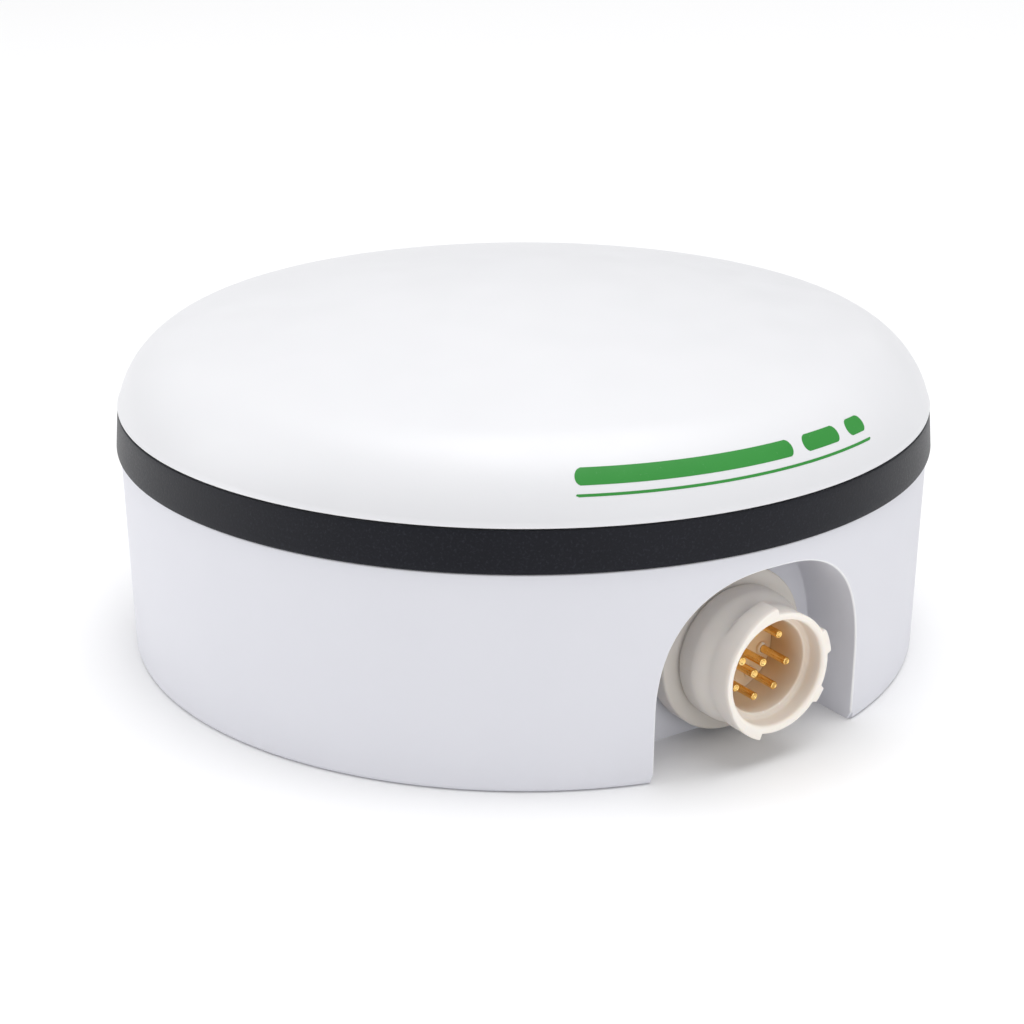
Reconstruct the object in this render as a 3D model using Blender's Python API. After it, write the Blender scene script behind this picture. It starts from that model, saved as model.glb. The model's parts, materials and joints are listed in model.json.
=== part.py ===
"""A roof-top satellite positioning receiver, modelled as the pieces it comes apart into.

A white radome sits on a white base, with a dark trim band between them. An arched bay in the
base's side holds a round cable receptacle. The patch antenna, the receiver board and their
fixings are inside, and magnets and threaded inserts are in the underside.

Lengths below are in millimetres, and MM turns them into metres. The origin is on the turning
axis, on the plane that the base stands on. +Z is up, and the receptacle faces -Y. Its own
pieces are modelled about a local Z that points outward along the receptacle's axis.
"""

import math

import bmesh
import bpy

MM = 0.001
GAP = 0.3                       # clearance that touching pieces keep
ROUND = 64                      # sides of the large turned pieces
MEDIUM = 32                     # sides of the receptacle's pieces
SMALL = 12                      # sides of screws, posts and holes
TINY = 8                        # sides of contact pins and their holes

# The outside
TOTAL_HEIGHT = 68.0
DOME_RADIUS = 76.9              # at the radome's rim
DOME_EDGE_RADIUS = 16.8         # arc between the dome's side and its crown
DOME_EDGE_START = math.radians(11.3)
DOME_WALL = 2.6
BAND_TOP = 47.06
BAND_BOTTOM = 39.74
BAND_LOWER_RADIUS = 77.5
BAND_INNER_RADIUS = 74.9
BASE_TOP_RADIUS = 76.8
BASE_FOOT_RADIUS = 76.2
BASE_FOOT_ROUNDING = 1.0
BASE_WALL_INNER = 73.4
BASE_FLOOR = 3.0

# The joint between radome and base
LIP_RADIUS = BAND_INNER_RADIUS - GAP
LIP_TOP = 44.5
LEDGE_TOP = 37.4
LEDGE_RADIUS = 70.6
SPIGOT_RADIUS = BASE_WALL_INNER - GAP
SPIGOT_WALL = 2.2
SPIGOT_BOTTOM = 39.3

# The arched bay: upright sides, then a superellipse
BAY_HALF_WIDTH = 21.8
BAY_SPRING = 11.17
BAY_TOP = 35.72
BAY_POWER = 2.47
BAY_BACK = 60.2                 # distance of the bay's back wall from the turning axis
BAY_WALL = 2.5
BAY_ROOF = 1.5

# The receptacle, with distances measured outward from the turning axis
PLUG_AXIS_HEIGHT = 16.8
SHELL_REAR = 48.0
SHELL_REAR_RADIUS = 10.2
FLANGE_BACK = 61.8
FLANGE_FRONT = 65.8
FLANGE_RADIUS = 15.0
COLLAR_FRONT = 69.2
COLLAR_RADIUS = 12.1
BARREL_BACK = 72.4
BARREL_RADIUS = 10.85
RIM_FRONT = 78.25
CUP_RADIUS = 9.55
CUP_LEDGE = 74.7
CUP_LIP = 0.6                   # bevel at the cup's mouth
TUBE_RADIUS = 8.4
LUG_RADIUS = 11.65
LUG_LENGTH = 3.1
LUG_ARCS = ((93, 127, 1.44), (7, 29, 0.0), (-41, -27, 0.0), (-155, -107, -1.44))   # ends, slant
INSERT_REAR = 50.0
INSERT_FRONT = 66.3
PIN_REAR = 47.0
PIN_SETS = (                    # pin radius, tip, and each pin's distance and angle
    (0.7, 73.3, ((6.0, 48), (6.0, 103), (6.0, 158), (6.0, -147), (6.0, -99), (6.0, -56), (6.0, -10))),
    (0.8, 72.4, ((1.6, -19), (3.2, 165), (2.2, -99))),
)
NUT_FLATS = 24.0
NUT_THICKNESS = 3.1

# Fixings
SCREW_SHANK_RADIUS = 1.5
SCREW_HOLE_RADIUS = 1.8
CASE_SCREW_HOLE_RADIUS = 1.9
CASE_SCREW_HEAD_RADIUS = 2.9
CASE_SCREW_HEAD_HEIGHT = 2.4
CASE_SCREW_RECESS = (1.3, 1.2)  # radius, depth
CASE_SCREW_CIRCLE = 66.5
CASE_SCREW_ANGLES = (0, 60, 120, 180, 240, 300)
COLUMN_RADIUS = 3.6
COLUMN_TOP = 39.5
COLUMN_FOOT_RADIUS = 5.0
COLUMN_FOOT_TOP = 11.0
COUNTERBORE_RADIUS = 3.3
COUNTERBORE_DEPTH = 7.9
CASE_SCREW_END = 52.0
POST_BOTTOM = 39.8
POST_HOLE_TOP = 54.0
SPACER_CIRCLE = 56.0
SPACER_ANGLES = (30, 150, 210, 330)
SPACER_RADIUS = 3.2
SPACER_POST_RADIUS = 4.0
MAGNET_CIRCLE = 36.0
MAGNET_ANGLES = (90, 210, 330)
MAGNET_RADIUS = 12.5
MAGNET_THICKNESS = 6.0
MAGNET_POCKET_WALL = 2.0
INSERT_CIRCLE = 58.0
INSERT_ANGLES = (45, 135, 225, 315)
THREAD_INSERT_RADIUS = 3.0
THREAD_INSERT_LENGTH = 8.0
VENT_AT = (0.0, 60.0)
VENT_HOLE_RADIUS = 3.0
VENT_HEAD_RADIUS = 6.0
VENT_SEAT_DEPTH = 1.6

# The electronics
BOARD_BOTTOM = 28.0
BOARD_THICKNESS = 1.6
BOARD_RADIUS = 62.0
BOARD_FRONT = 50.0              # the board's straight edge, towards the receptacle
PLATE_BOTTOM = 44.0
PLATE_THICKNESS = 1.5
PLATE_RADIUS = 60.0
AMPLIFIER_RADIUS = 30.0
AMPLIFIER_THICKNESS = 1.2
LOWER_PATCH = (52.0, 7.0)       # side, thickness
UPPER_PATCH = (36.0, 5.0)
FEED_AT = (4.0, 0.0)
FEED_RADIUS = 0.7

WHITE_PLASTIC = (0.83, 0.84, 0.87)
DARK_PLASTIC = (0.028, 0.030, 0.036)
IVORY_NYLON = (0.72, 0.62, 0.47)
BLACK_RUBBER = (0.015, 0.015, 0.015)


def clear_scene():
    for item in list(bpy.data.objects):
        bpy.data.objects.remove(item, do_unlink=True)


def make_material(name, colour, roughness, metallic=0.0):
    material = bpy.data.materials.new(name)
    material.use_nodes = True
    shader = material.node_tree.nodes["Principled BSDF"]
    shader.inputs["Base Color"].default_value = (*colour, 1.0)
    shader.inputs["Roughness"].default_value = roughness
    shader.inputs["Metallic"].default_value = metallic
    return material


# ---- Mesh building -------------------------------------------------------------------------

def add_turned(bm, profile, sides, centre=(0.0, 0.0)):
    """Adds a closed turned body. A profile of (radius, height) points that starts and ends on
    the axis makes a solid one, and any other profile is closed into a ring. A flat end becomes
    one round face."""
    rings = []
    for radius, height in profile:
        if radius < 1e-6:
            rings.append([bm.verts.new((centre[0] * MM, centre[1] * MM, height * MM))])
            continue
        ring = []
        for step in range(sides):
            angle = 2 * math.pi * step / sides
            x = centre[0] + radius * math.cos(angle)
            y = centre[1] + radius * math.sin(angle)
            ring.append(bm.verts.new((x * MM, y * MM, height * MM)))
        rings.append(ring)
    pairs = list(zip(rings, rings[1:]))
    if len(rings[0]) > 1:
        pairs.append((rings[-1], rings[0]))
    for end, beside in ((0, 1), (-1, -2)):
        if len(rings[end]) == 1 and profile[end][1] == profile[beside][1]:
            bm.verts.remove(rings[end][0])
            pairs.pop(end)
            bm.faces.new(rings[beside])
    for low, high in pairs:
        for step in range(sides):
            after = (step + 1) % sides
            corners = [low[step % len(low)], low[after % len(low)]]
            corners += [high[after % len(high)], high[step % len(high)]]
            bm.faces.new(list(dict.fromkeys(corners)))


def add_prism(bm, outline, bottom, top):
    """Adds a closed upright prism over an outline of (x, y) points."""
    low = [bm.verts.new((x * MM, y * MM, bottom * MM)) for x, y in outline]
    high = [bm.verts.new((x * MM, y * MM, top * MM)) for x, y in outline]
    bm.faces.new(low)
    bm.faces.new(high)
    for here in range(len(outline)):
        after = (here + 1) % len(outline)
        bm.faces.new((low[here], low[after], high[after], high[here]))


def finish(name, bm, material=None, parent=None):
    """Turns a bmesh into an object with its faces outward and its round sides smooth."""
    bmesh.ops.recalc_face_normals(bm, faces=bm.faces)
    mesh = bpy.data.meshes.new(name)
    bm.to_mesh(mesh)
    bm.free()
    mesh.shade_smooth()
    mesh.set_sharp_from_angle(angle=math.radians(32))
    item = bpy.data.objects.new(name, mesh)
    bpy.context.scene.collection.objects.link(item)
    if material:
        mesh.materials.append(material)
    item.parent = parent
    return item


def turned(name, profile, material, sides=ROUND, parent=None, centre=(0.0, 0.0)):
    bm = bmesh.new()
    add_turned(bm, profile, sides, centre)
    return finish(name, bm, material, parent)


def turned_at_each(name, profile, sides, places, material=None, parent=None):
    """One object that holds the same turned body at each place, for use as a tool."""
    bm = bmesh.new()
    for place in places:
        add_turned(bm, profile, sides, place)
    return finish(name, bm, material, parent)


def prism(name, outline, bottom, top, material=None, parent=None):
    bm = bmesh.new()
    add_prism(bm, outline, bottom, top)
    return finish(name, bm, material, parent)


def box_outline(centre, width, depth, corner=0.6):
    """A rectangle with its corners cut at 45 degrees."""
    x, y = centre
    w = width / 2
    d = depth / 2
    c = corner
    return [
        (x - w + c, y - d), (x + w - c, y - d), (x + w, y - d + c), (x + w, y + d - c),
        (x + w - c, y + d), (x - w + c, y + d), (x - w, y + d - c), (x - w, y - d + c),
    ]


def cylinder_profile(radius, bottom, top):
    return [(0, bottom), (radius, bottom), (radius, top), (0, top)]


def around(circle, angles):
    """Points on a circle about the turning axis."""
    spots = []
    for degrees in angles:
        angle = math.radians(degrees)
        spots.append((circle * math.cos(angle), circle * math.sin(angle)))
    return spots


def cut(item, tool, operation="DIFFERENCE"):
    """Adds a Boolean to the item and hides its tool."""
    modifier = item.modifiers.new(tool.name, "BOOLEAN")
    modifier.operation = operation
    modifier.solver = "EXACT"
    modifier.object = tool
    tool.hide_render = True
    tool.display_type = "WIRE"
    return item


def lead(name, points, radius, material, parent):
    """A round wire along a smooth curve through its points."""
    route = bpy.data.curves.new(name, "CURVE")
    route.dimensions = "3D"
    route.bevel_depth = radius * MM
    route.bevel_resolution = 2
    route.use_fill_caps = True
    smooth = catmull_rom(points, 4)
    spline = route.splines.new("POLY")
    spline.points.add(len(smooth) - 1)
    for point, (x, y, z) in zip(spline.points, smooth):
        point.co = (x * MM, y * MM, z * MM, 1.0)
    route.materials.append(material)
    item = bpy.data.objects.new(name, route)
    bpy.context.scene.collection.objects.link(item)
    item.parent = parent
    return item


def catmull_rom(points, steps):
    """Points of a smooth curve that passes through the given points."""
    ends = [points[0], *points, points[-1]]
    smooth = []
    for a, b, c, d in zip(ends, ends[1:], ends[2:], ends[3:]):
        for step in range(steps):
            t = step / steps
            smooth.append(tuple(
                0.5 * (2 * q + (r - p) * t + (2 * p - 5 * q + 4 * r - s) * t * t
                       + (3 * q - p - 3 * r + s) * t ** 3)
                for p, q, r, s in zip(a, b, c, d)
            ))
    smooth.append(points[-1])
    return smooth


# ---- Outlines shared by the shells -----------------------------------------------------------

def dome_profile(wall):
    """The dome's profile from its crown down to its rim, set in from the outside by a wall.
    The side arc meets the crown's arc smoothly, and the crown's radius follows from the
    total height."""
    centre_radius = DOME_RADIUS - DOME_EDGE_RADIUS * math.cos(DOME_EDGE_START)
    centre_height = BAND_TOP - DOME_EDGE_RADIUS * math.sin(DOME_EDGE_START)
    rise = TOTAL_HEIGHT - centre_height
    crown = (centre_radius ** 2 + rise ** 2 - DOME_EDGE_RADIUS ** 2) / 2
    crown /= rise - DOME_EDGE_RADIUS
    crown_centre = TOTAL_HEIGHT - crown
    meet = math.atan2(centre_height - crown_centre, centre_radius)
    points = [(0.0, TOTAL_HEIGHT - wall)]
    crown_steps = 4
    for step in range(1, crown_steps):
        angle = math.pi / 2 - (math.pi / 2 - meet) * step / crown_steps
        reach = crown - wall
        points.append((reach * math.cos(angle), crown_centre + reach * math.sin(angle)))
    edge_steps = 6
    for step in range(edge_steps + 1):
        angle = meet + (DOME_EDGE_START - meet) * step / edge_steps
        reach = DOME_EDGE_RADIUS - wall
        radius = centre_radius + reach * math.cos(angle)
        points.append((radius, centre_height + reach * math.sin(angle)))
    return points


def bay_outline(spread, roof, bottom):
    """The bay's arch as (x, z) points, widened by a spread and raised by a roof."""
    half_width = BAY_HALF_WIDTH + spread
    rise = BAY_TOP + roof - BAY_SPRING
    points = [(half_width, bottom)]
    steps = 28
    for step in range(steps + 1):
        angle = math.pi * step / steps
        side = abs(math.cos(angle)) ** (2 / BAY_POWER)
        up = math.sin(angle) ** (2 / BAY_POWER) if 0 < step < steps else 0.0
        points.append((math.copysign(half_width * side, math.cos(angle)), BAY_SPRING + rise * up))
    points.append((-half_width, bottom))
    return points


def bay_prism(name, spread, roof, bottom, back, front):
    """The bay's arch swept outward along -Y between two distances from the turning axis."""
    item = prism(name, bay_outline(spread, roof, bottom), back, front)
    item.rotation_euler = (math.pi / 2, 0, 0)
    return item


# ---- Housing ---------------------------------------------------------------------------------

def make_radome(material, parent):
    outside = dome_profile(0.0)
    outside[-1] = (DOME_RADIUS, BAND_TOP + GAP)
    outside += [(SPIGOT_RADIUS, BAND_TOP + GAP), (SPIGOT_RADIUS, SPIGOT_BOTTOM), (0, SPIGOT_BOTTOM)]
    radome = turned("radome", outside, material, parent=parent)
    spigot_inner = SPIGOT_RADIUS - SPIGOT_WALL
    inside = [point for point in dome_profile(DOME_WALL) if point[0] < spigot_inner]
    inside += [(spigot_inner, inside[-1][1] - 1.2), (spigot_inner, SPIGOT_BOTTOM - 2)]
    inside += [(0, SPIGOT_BOTTOM - 2)]
    cavity = turned("radome_cavity_tool", inside, None)
    places = around(CASE_SCREW_CIRCLE, CASE_SCREW_ANGLES)
    posts = cylinder_profile(COLUMN_RADIUS, POST_BOTTOM, TOTAL_HEIGHT)
    cut(cavity, turned_at_each("radome_posts_tool", posts, SMALL, places))
    cut(radome, cavity)
    holes = cylinder_profile(SCREW_HOLE_RADIUS, POST_BOTTOM - 2, POST_HOLE_TOP)
    cut(radome, turned_at_each("radome_holes_tool", holes, SMALL, places))
    return radome


def make_trim_band(material, parent):
    chamfer = 0.25
    profile = [
        (BAND_INNER_RADIUS, BAND_BOTTOM),
        (BAND_LOWER_RADIUS - chamfer, BAND_BOTTOM),
        (BAND_LOWER_RADIUS, BAND_BOTTOM + chamfer),
        (DOME_RADIUS, BAND_TOP - chamfer),
        (DOME_RADIUS - chamfer, BAND_TOP),
        (BAND_INNER_RADIUS, BAND_TOP),
    ]
    return turned("trim_band", profile, material, parent=parent)


def make_gasket(material, parent):
    low = LEDGE_TOP + GAP
    high = SPIGOT_BOTTOM - GAP
    inner = LEDGE_RADIUS + 0.6
    outer = BASE_WALL_INNER - 0.5
    middle = (low + high) / 2
    profile = [
        (inner, middle), (inner + 0.4, low), (outer - 0.4, low),
        (outer, middle), (outer - 0.4, high), (inner + 0.4, high),
    ]
    return turned("radome_gasket", profile, material, parent=parent)


def base_pan_profile():
    top = BAND_BOTTOM - GAP
    rounding = BASE_FOOT_ROUNDING
    points = [(0, 0), (BASE_FOOT_RADIUS - rounding, 0)]
    for step in range(1, 4):
        angle = math.radians(-90 + 30 * step)
        radius = BASE_FOOT_RADIUS - rounding + rounding * math.cos(angle)
        points.append((radius, rounding + rounding * math.sin(angle)))
    points += [
        (BASE_TOP_RADIUS, top), (LIP_RADIUS, top), (LIP_RADIUS, LIP_TOP),
        (BASE_WALL_INNER, LIP_TOP), (BASE_WALL_INNER, LEDGE_TOP), (LEDGE_RADIUS, LEDGE_TOP),
        (LEDGE_RADIUS, LEDGE_TOP - 2), (BASE_WALL_INNER, LEDGE_TOP - 5),
        (BASE_WALL_INNER, BASE_FLOOR), (0, BASE_FLOOR),
    ]
    return points


def base_bosses(base):
    """Joins the inside columns, posts and bosses to the base."""
    inside_floor = BASE_FLOOR / 2
    column = [
        (0, inside_floor), (COLUMN_FOOT_RADIUS, inside_floor), (COLUMN_FOOT_RADIUS, COLUMN_FOOT_TOP - 2),
        (COLUMN_RADIUS, COLUMN_FOOT_TOP), (COLUMN_RADIUS, COLUMN_TOP), (0, COLUMN_TOP),
    ]
    spots = around(CASE_SCREW_CIRCLE, CASE_SCREW_ANGLES)
    cut(base, turned_at_each("base_columns_tool", column, SMALL, spots), "UNION")
    post = cylinder_profile(SPACER_POST_RADIUS, inside_floor, BOARD_BOTTOM - GAP)
    spots = around(SPACER_CIRCLE, SPACER_ANGLES)
    cut(base, turned_at_each("base_posts_tool", post, SMALL, spots), "UNION")
    pocket_top = MAGNET_THICKNESS + 2 * GAP + MAGNET_POCKET_WALL
    boss = cylinder_profile(MAGNET_RADIUS + MAGNET_POCKET_WALL, inside_floor, pocket_top)
    spots = around(MAGNET_CIRCLE, MAGNET_ANGLES)
    cut(base, turned_at_each("base_magnet_bosses_tool", boss, MEDIUM, spots), "UNION")
    boss = cylinder_profile(THREAD_INSERT_RADIUS + 2, inside_floor, THREAD_INSERT_LENGTH + 3)
    spots = around(INSERT_CIRCLE, INSERT_ANGLES)
    cut(base, turned_at_each("base_insert_bosses_tool", boss, SMALL, spots), "UNION")


def base_holes(base):
    """Cuts every hole that opens in the underside, and the posts' screw holes."""
    below = -1.0
    spots = around(CASE_SCREW_CIRCLE, CASE_SCREW_ANGLES)
    stepped = [
        (0, below), (COUNTERBORE_RADIUS, below), (COUNTERBORE_RADIUS, COUNTERBORE_DEPTH),
        (CASE_SCREW_HOLE_RADIUS, COUNTERBORE_DEPTH), (CASE_SCREW_HOLE_RADIUS, COLUMN_TOP + 1),
        (0, COLUMN_TOP + 1),
    ]
    cut(base, turned_at_each("base_screw_holes_tool", stepped, SMALL, spots))
    spots = around(SPACER_CIRCLE, SPACER_ANGLES)
    stud = cylinder_profile(SCREW_HOLE_RADIUS, BOARD_BOTTOM - 10, BOARD_BOTTOM + 1)
    cut(base, turned_at_each("base_stud_holes_tool", stud, SMALL, spots))
    spots = around(MAGNET_CIRCLE, MAGNET_ANGLES)
    pocket = cylinder_profile(MAGNET_RADIUS + GAP, below, MAGNET_THICKNESS + 2 * GAP)
    cut(base, turned_at_each("base_magnet_pockets_tool", pocket, MEDIUM, spots))
    spots = around(INSERT_CIRCLE, INSERT_ANGLES)
    seat = cylinder_profile(THREAD_INSERT_RADIUS + GAP, below, THREAD_INSERT_LENGTH + 2 * GAP)
    cut(base, turned_at_each("base_insert_seats_tool", seat, SMALL, spots))
    vent = [
        (0, below), (VENT_HEAD_RADIUS + GAP, below), (VENT_HEAD_RADIUS + GAP, VENT_SEAT_DEPTH),
        (VENT_HOLE_RADIUS + GAP, VENT_SEAT_DEPTH), (VENT_HOLE_RADIUS + GAP, BASE_FLOOR + 1),
        (0, BASE_FLOOR + 1),
    ]
    cut(base, turned_at_each("base_vent_hole_tool", vent, SMALL, [VENT_AT]))


def make_base(material, parent):
    base = turned("base_housing", base_pan_profile(), material, parent=parent)
    inside_wall = (BASE_WALL_INNER + BASE_FOOT_RADIUS) / 2
    bay_box = bay_prism("base_bay_box_tool", BAY_WALL, BAY_ROOF, BASE_FLOOR / 2,
                        BAY_BACK - BAY_WALL, BASE_TOP_RADIUS + 5)
    limit = turned("base_bay_limit_tool", cylinder_profile(inside_wall, 0, TOTAL_HEIGHT), None)
    cut(bay_box, limit, "INTERSECT")
    cut(base, bay_box, "UNION")
    base_bosses(base)
    cut(base, bay_prism("base_bay_tool", 0, 0, -5, BAY_BACK, BASE_TOP_RADIUS + 8))
    base_holes(base)
    plug_hole = turned("base_plug_hole_tool", cylinder_profile(SHELL_REAR_RADIUS + 0.4, 50, 61), None,
                       sides=MEDIUM)
    plug_hole.rotation_euler = (math.pi / 2, 0, 0)
    plug_hole.location = (0, 0, PLUG_AXIS_HEIGHT * MM)
    cut(base, plug_hole)
    return base


# ---- Receptacle, about a local Z that points outward -----------------------------------------

def lug_mesh(bm, first, last, slant):
    """A bayonet lug: a raised strip round the barrel, whose back edge slants along its arc."""
    steps = max(2, round(abs(last - first) / 8))
    inner = BARREL_RADIUS - 0.6
    sections = []
    for step in range(steps + 1):
        share = step / steps
        angle = math.radians(first + (last - first) * share)
        shift = slant * (share if slant > 0 else share - 1)
        front = RIM_FRONT - 0.35
        back = front - LUG_LENGTH
        ring = []
        for radius, height in ((inner, back - shift), (LUG_RADIUS, back - shift + 0.3),
                               (LUG_RADIUS, front - 0.3 - shift), (inner, front - shift)):
            spot = (radius * math.cos(angle) * MM, radius * math.sin(angle) * MM, height * MM)
            ring.append(bm.verts.new(spot))
        sections.append(ring)
    bm.faces.new(sections[0])
    bm.faces.new(sections[-1])
    for here, after in zip(sections, sections[1:]):
        for side in range(4):
            other = (side + 1) % 4
            bm.faces.new((here[side], here[other], after[other], after[side]))


def make_connector_shell(material, parent):
    profile = [
        (TUBE_RADIUS, SHELL_REAR), (SHELL_REAR_RADIUS, SHELL_REAR),
        (SHELL_REAR_RADIUS, FLANGE_BACK), (FLANGE_RADIUS, FLANGE_BACK),
        (FLANGE_RADIUS, FLANGE_FRONT - 0.6), (FLANGE_RADIUS - 0.6, FLANGE_FRONT),
        (COLLAR_RADIUS, FLANGE_FRONT), (COLLAR_RADIUS, COLLAR_FRONT),
        (COLLAR_RADIUS - 0.35, COLLAR_FRONT + 1.1),
        (BARREL_RADIUS + 0.3, BARREL_BACK - 0.9), (BARREL_RADIUS, BARREL_BACK),
        (BARREL_RADIUS, RIM_FRONT - 0.3), (BARREL_RADIUS - 0.3, RIM_FRONT),
        (CUP_RADIUS + CUP_LIP, RIM_FRONT), (CUP_RADIUS, RIM_FRONT - CUP_LIP),
        (CUP_RADIUS, CUP_LEDGE), (TUBE_RADIUS, CUP_LEDGE),
    ]
    shell = turned("connector_shell", profile, material, MEDIUM, parent)
    bm = bmesh.new()
    for first, last, slant in LUG_ARCS:
        lug_mesh(bm, first, last, slant)
    lugs = finish("connector_lugs_tool", bm, None, parent)
    cut(shell, lugs, "UNION")
    return shell


def pin_spots(places):
    return [around(distance, [angle])[0] for distance, angle in places]


def make_connector_insert(material, parent):
    radius = TUBE_RADIUS - GAP
    profile = [
        (0, INSERT_REAR), (radius, INSERT_REAR), (radius, INSERT_FRONT - 0.4),
        (radius - 0.4, INSERT_FRONT), (0, INSERT_FRONT),
    ]
    insert = turned("connector_insert", profile, material, MEDIUM, parent)
    for number, (pin_radius, _, places) in enumerate(PIN_SETS, 1):
        hole = cylinder_profile(pin_radius + GAP, INSERT_REAR - 1, INSERT_FRONT + 1)
        spots = pin_spots(places)
        cut(insert, turned_at_each(f"pin_holes_tool_{number}", hole, TINY, spots, parent=parent))
    return insert


def make_contact_pins(material, parent):
    """Turned pins with blunt tips. The pins of a set share their mesh."""
    number = 1
    for radius, tip, places in PIN_SETS:
        bm = bmesh.new()
        profile = [
            (0, PIN_REAR), (radius, PIN_REAR), (radius, tip - 0.3), (radius * 0.75, tip), (0, tip),
        ]
        add_turned(bm, profile, TINY)
        pin = finish(f"contact_pin_{number:02d}", bm, material, parent)
        for step, (x, y) in enumerate(pin_spots(places)):
            if step:
                pin = bpy.data.objects.new(f"contact_pin_{number:02d}", pin.data)
                bpy.context.scene.collection.objects.link(pin)
                pin.parent = parent
            pin.location = (x * MM, y * MM, 0)
            number += 1


def make_connector_gasket(material, parent):
    inner = SHELL_REAR_RADIUS + GAP
    outer = FLANGE_RADIUS - 0.7
    low = BAY_BACK + GAP
    high = FLANGE_BACK - GAP
    profile = [(inner, low), (outer, low), (outer, high), (inner, high)]
    return turned("connector_gasket", profile, material, MEDIUM, parent)


def make_connector_nut(material, parent):
    front = BAY_BACK - BAY_WALL - GAP
    back = front - NUT_THICKNESS
    corner = NUT_FLATS / math.sqrt(3)
    outline = around(corner, [60 * step for step in range(6)])
    nut = prism("connector_nut", outline, back, front, material, parent)
    bore = cylinder_profile(SHELL_REAR_RADIUS + GAP, back - 1, front + 1)
    return cut(nut, turned_at_each("nut_bore_tool", bore, MEDIUM, [(0, 0)], parent=parent))


# ---- Fixings, magnets and vent ---------------------------------------------------------------

def make_group(name, profile, places, material, parent, sides=SMALL):
    """Copies of one turned piece, each its own object, named with a number."""
    bm = bmesh.new()
    add_turned(bm, profile, sides)
    first = finish(f"{name}_1", bm, material, parent)
    for number, (x, y) in enumerate(places, 1):
        item = first
        if number > 1:
            item = bpy.data.objects.new(f"{name}_{number}", first.data)
            bpy.context.scene.collection.objects.link(item)
            item.parent = parent
        item.location = (x * MM, y * MM, 0)


def make_case_screws(material, parent):
    head_top = COUNTERBORE_DEPTH - GAP
    head_bottom = head_top - CASE_SCREW_HEAD_HEIGHT
    recess_radius, recess_depth = CASE_SCREW_RECESS
    profile = [
        (0, head_bottom + recess_depth), (recess_radius, head_bottom + recess_depth),
        (recess_radius, head_bottom), (CASE_SCREW_HEAD_RADIUS, head_bottom),
        (CASE_SCREW_HEAD_RADIUS, head_top), (SCREW_SHANK_RADIUS, head_top),
        (SCREW_SHANK_RADIUS, CASE_SCREW_END), (0, CASE_SCREW_END),
    ]
    make_group("case_screw", profile, around(CASE_SCREW_CIRCLE, CASE_SCREW_ANGLES), material, parent)


def make_spacers(material, parent):
    """Round spacers: a stud below goes through the board into the base's post."""
    low = BOARD_BOTTOM + BOARD_THICKNESS + GAP
    high = PLATE_BOTTOM - GAP
    profile = [
        (0, BOARD_BOTTOM - 8), (SCREW_SHANK_RADIUS, BOARD_BOTTOM - 8), (SCREW_SHANK_RADIUS, low),
        (SPACER_RADIUS, low), (SPACER_RADIUS, high), (SCREW_HOLE_RADIUS, high),
        (SCREW_HOLE_RADIUS, high - 8), (0, high - 8),
    ]
    make_group("board_spacer", profile, around(SPACER_CIRCLE, SPACER_ANGLES), material, parent, 12)


def make_plate_screws(material, parent):
    low = PLATE_BOTTOM + PLATE_THICKNESS + GAP
    profile = [
        (0, PLATE_BOTTOM - 6), (SCREW_SHANK_RADIUS, PLATE_BOTTOM - 6), (SCREW_SHANK_RADIUS, low),
        (2.8, low), (2.8, low + 1.6), (2.2, low + 2.2), (0, low + 2.2),
    ]
    make_group("plate_screw", profile, around(SPACER_CIRCLE, SPACER_ANGLES), material, parent, 12)


def make_magnets(material, parent):
    top = GAP + MAGNET_THICKNESS
    radius = MAGNET_RADIUS
    profile = [(0, GAP), (radius - 0.5, GAP), (radius, GAP + 0.5), (radius, top), (0, top)]
    make_group("magnet", profile, around(MAGNET_CIRCLE, MAGNET_ANGLES), material, parent, MEDIUM)


def make_thread_inserts(material, parent):
    radius = THREAD_INSERT_RADIUS
    top = GAP + THREAD_INSERT_LENGTH
    profile = [(2.0, GAP), (radius, GAP), (radius, top), (2.0, top)]
    make_group("mount_insert", profile, around(INSERT_CIRCLE, INSERT_ANGLES), material, parent)


def make_vent(material, parent):
    profile = [
        (0, GAP), (VENT_HEAD_RADIUS - 0.4, GAP), (VENT_HEAD_RADIUS, GAP + 0.4),
        (VENT_HEAD_RADIUS, VENT_SEAT_DEPTH - GAP), (VENT_HOLE_RADIUS, VENT_SEAT_DEPTH - GAP),
        (VENT_HOLE_RADIUS, BASE_FLOOR + 1.5), (0, BASE_FLOOR + 1.5),
    ]
    return turned("vent_plug", profile, material, 24, parent, VENT_AT)


# ---- Electronics -----------------------------------------------------------------------------

def make_main_board(material, parent):
    front = -BOARD_FRONT
    reach = math.degrees(math.acos(BOARD_FRONT / BOARD_RADIUS))
    first = -90 + reach
    steps = 40
    angles = [first + (360 - 2 * reach) * step / steps for step in range(steps + 1)]
    outline = around(BOARD_RADIUS, angles)
    outline[0] = (outline[0][0], front)
    outline[-1] = (outline[-1][0], front)
    board = prism("main_board", outline, BOARD_BOTTOM, BOARD_BOTTOM + BOARD_THICKNESS, material, parent)
    hole = cylinder_profile(SCREW_HOLE_RADIUS, BOARD_BOTTOM - 1, BOARD_BOTTOM + 3)
    spots = around(SPACER_CIRCLE, SPACER_ANGLES)
    return cut(board, turned_at_each("board_holes_tool", hole, SMALL, spots))


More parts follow.
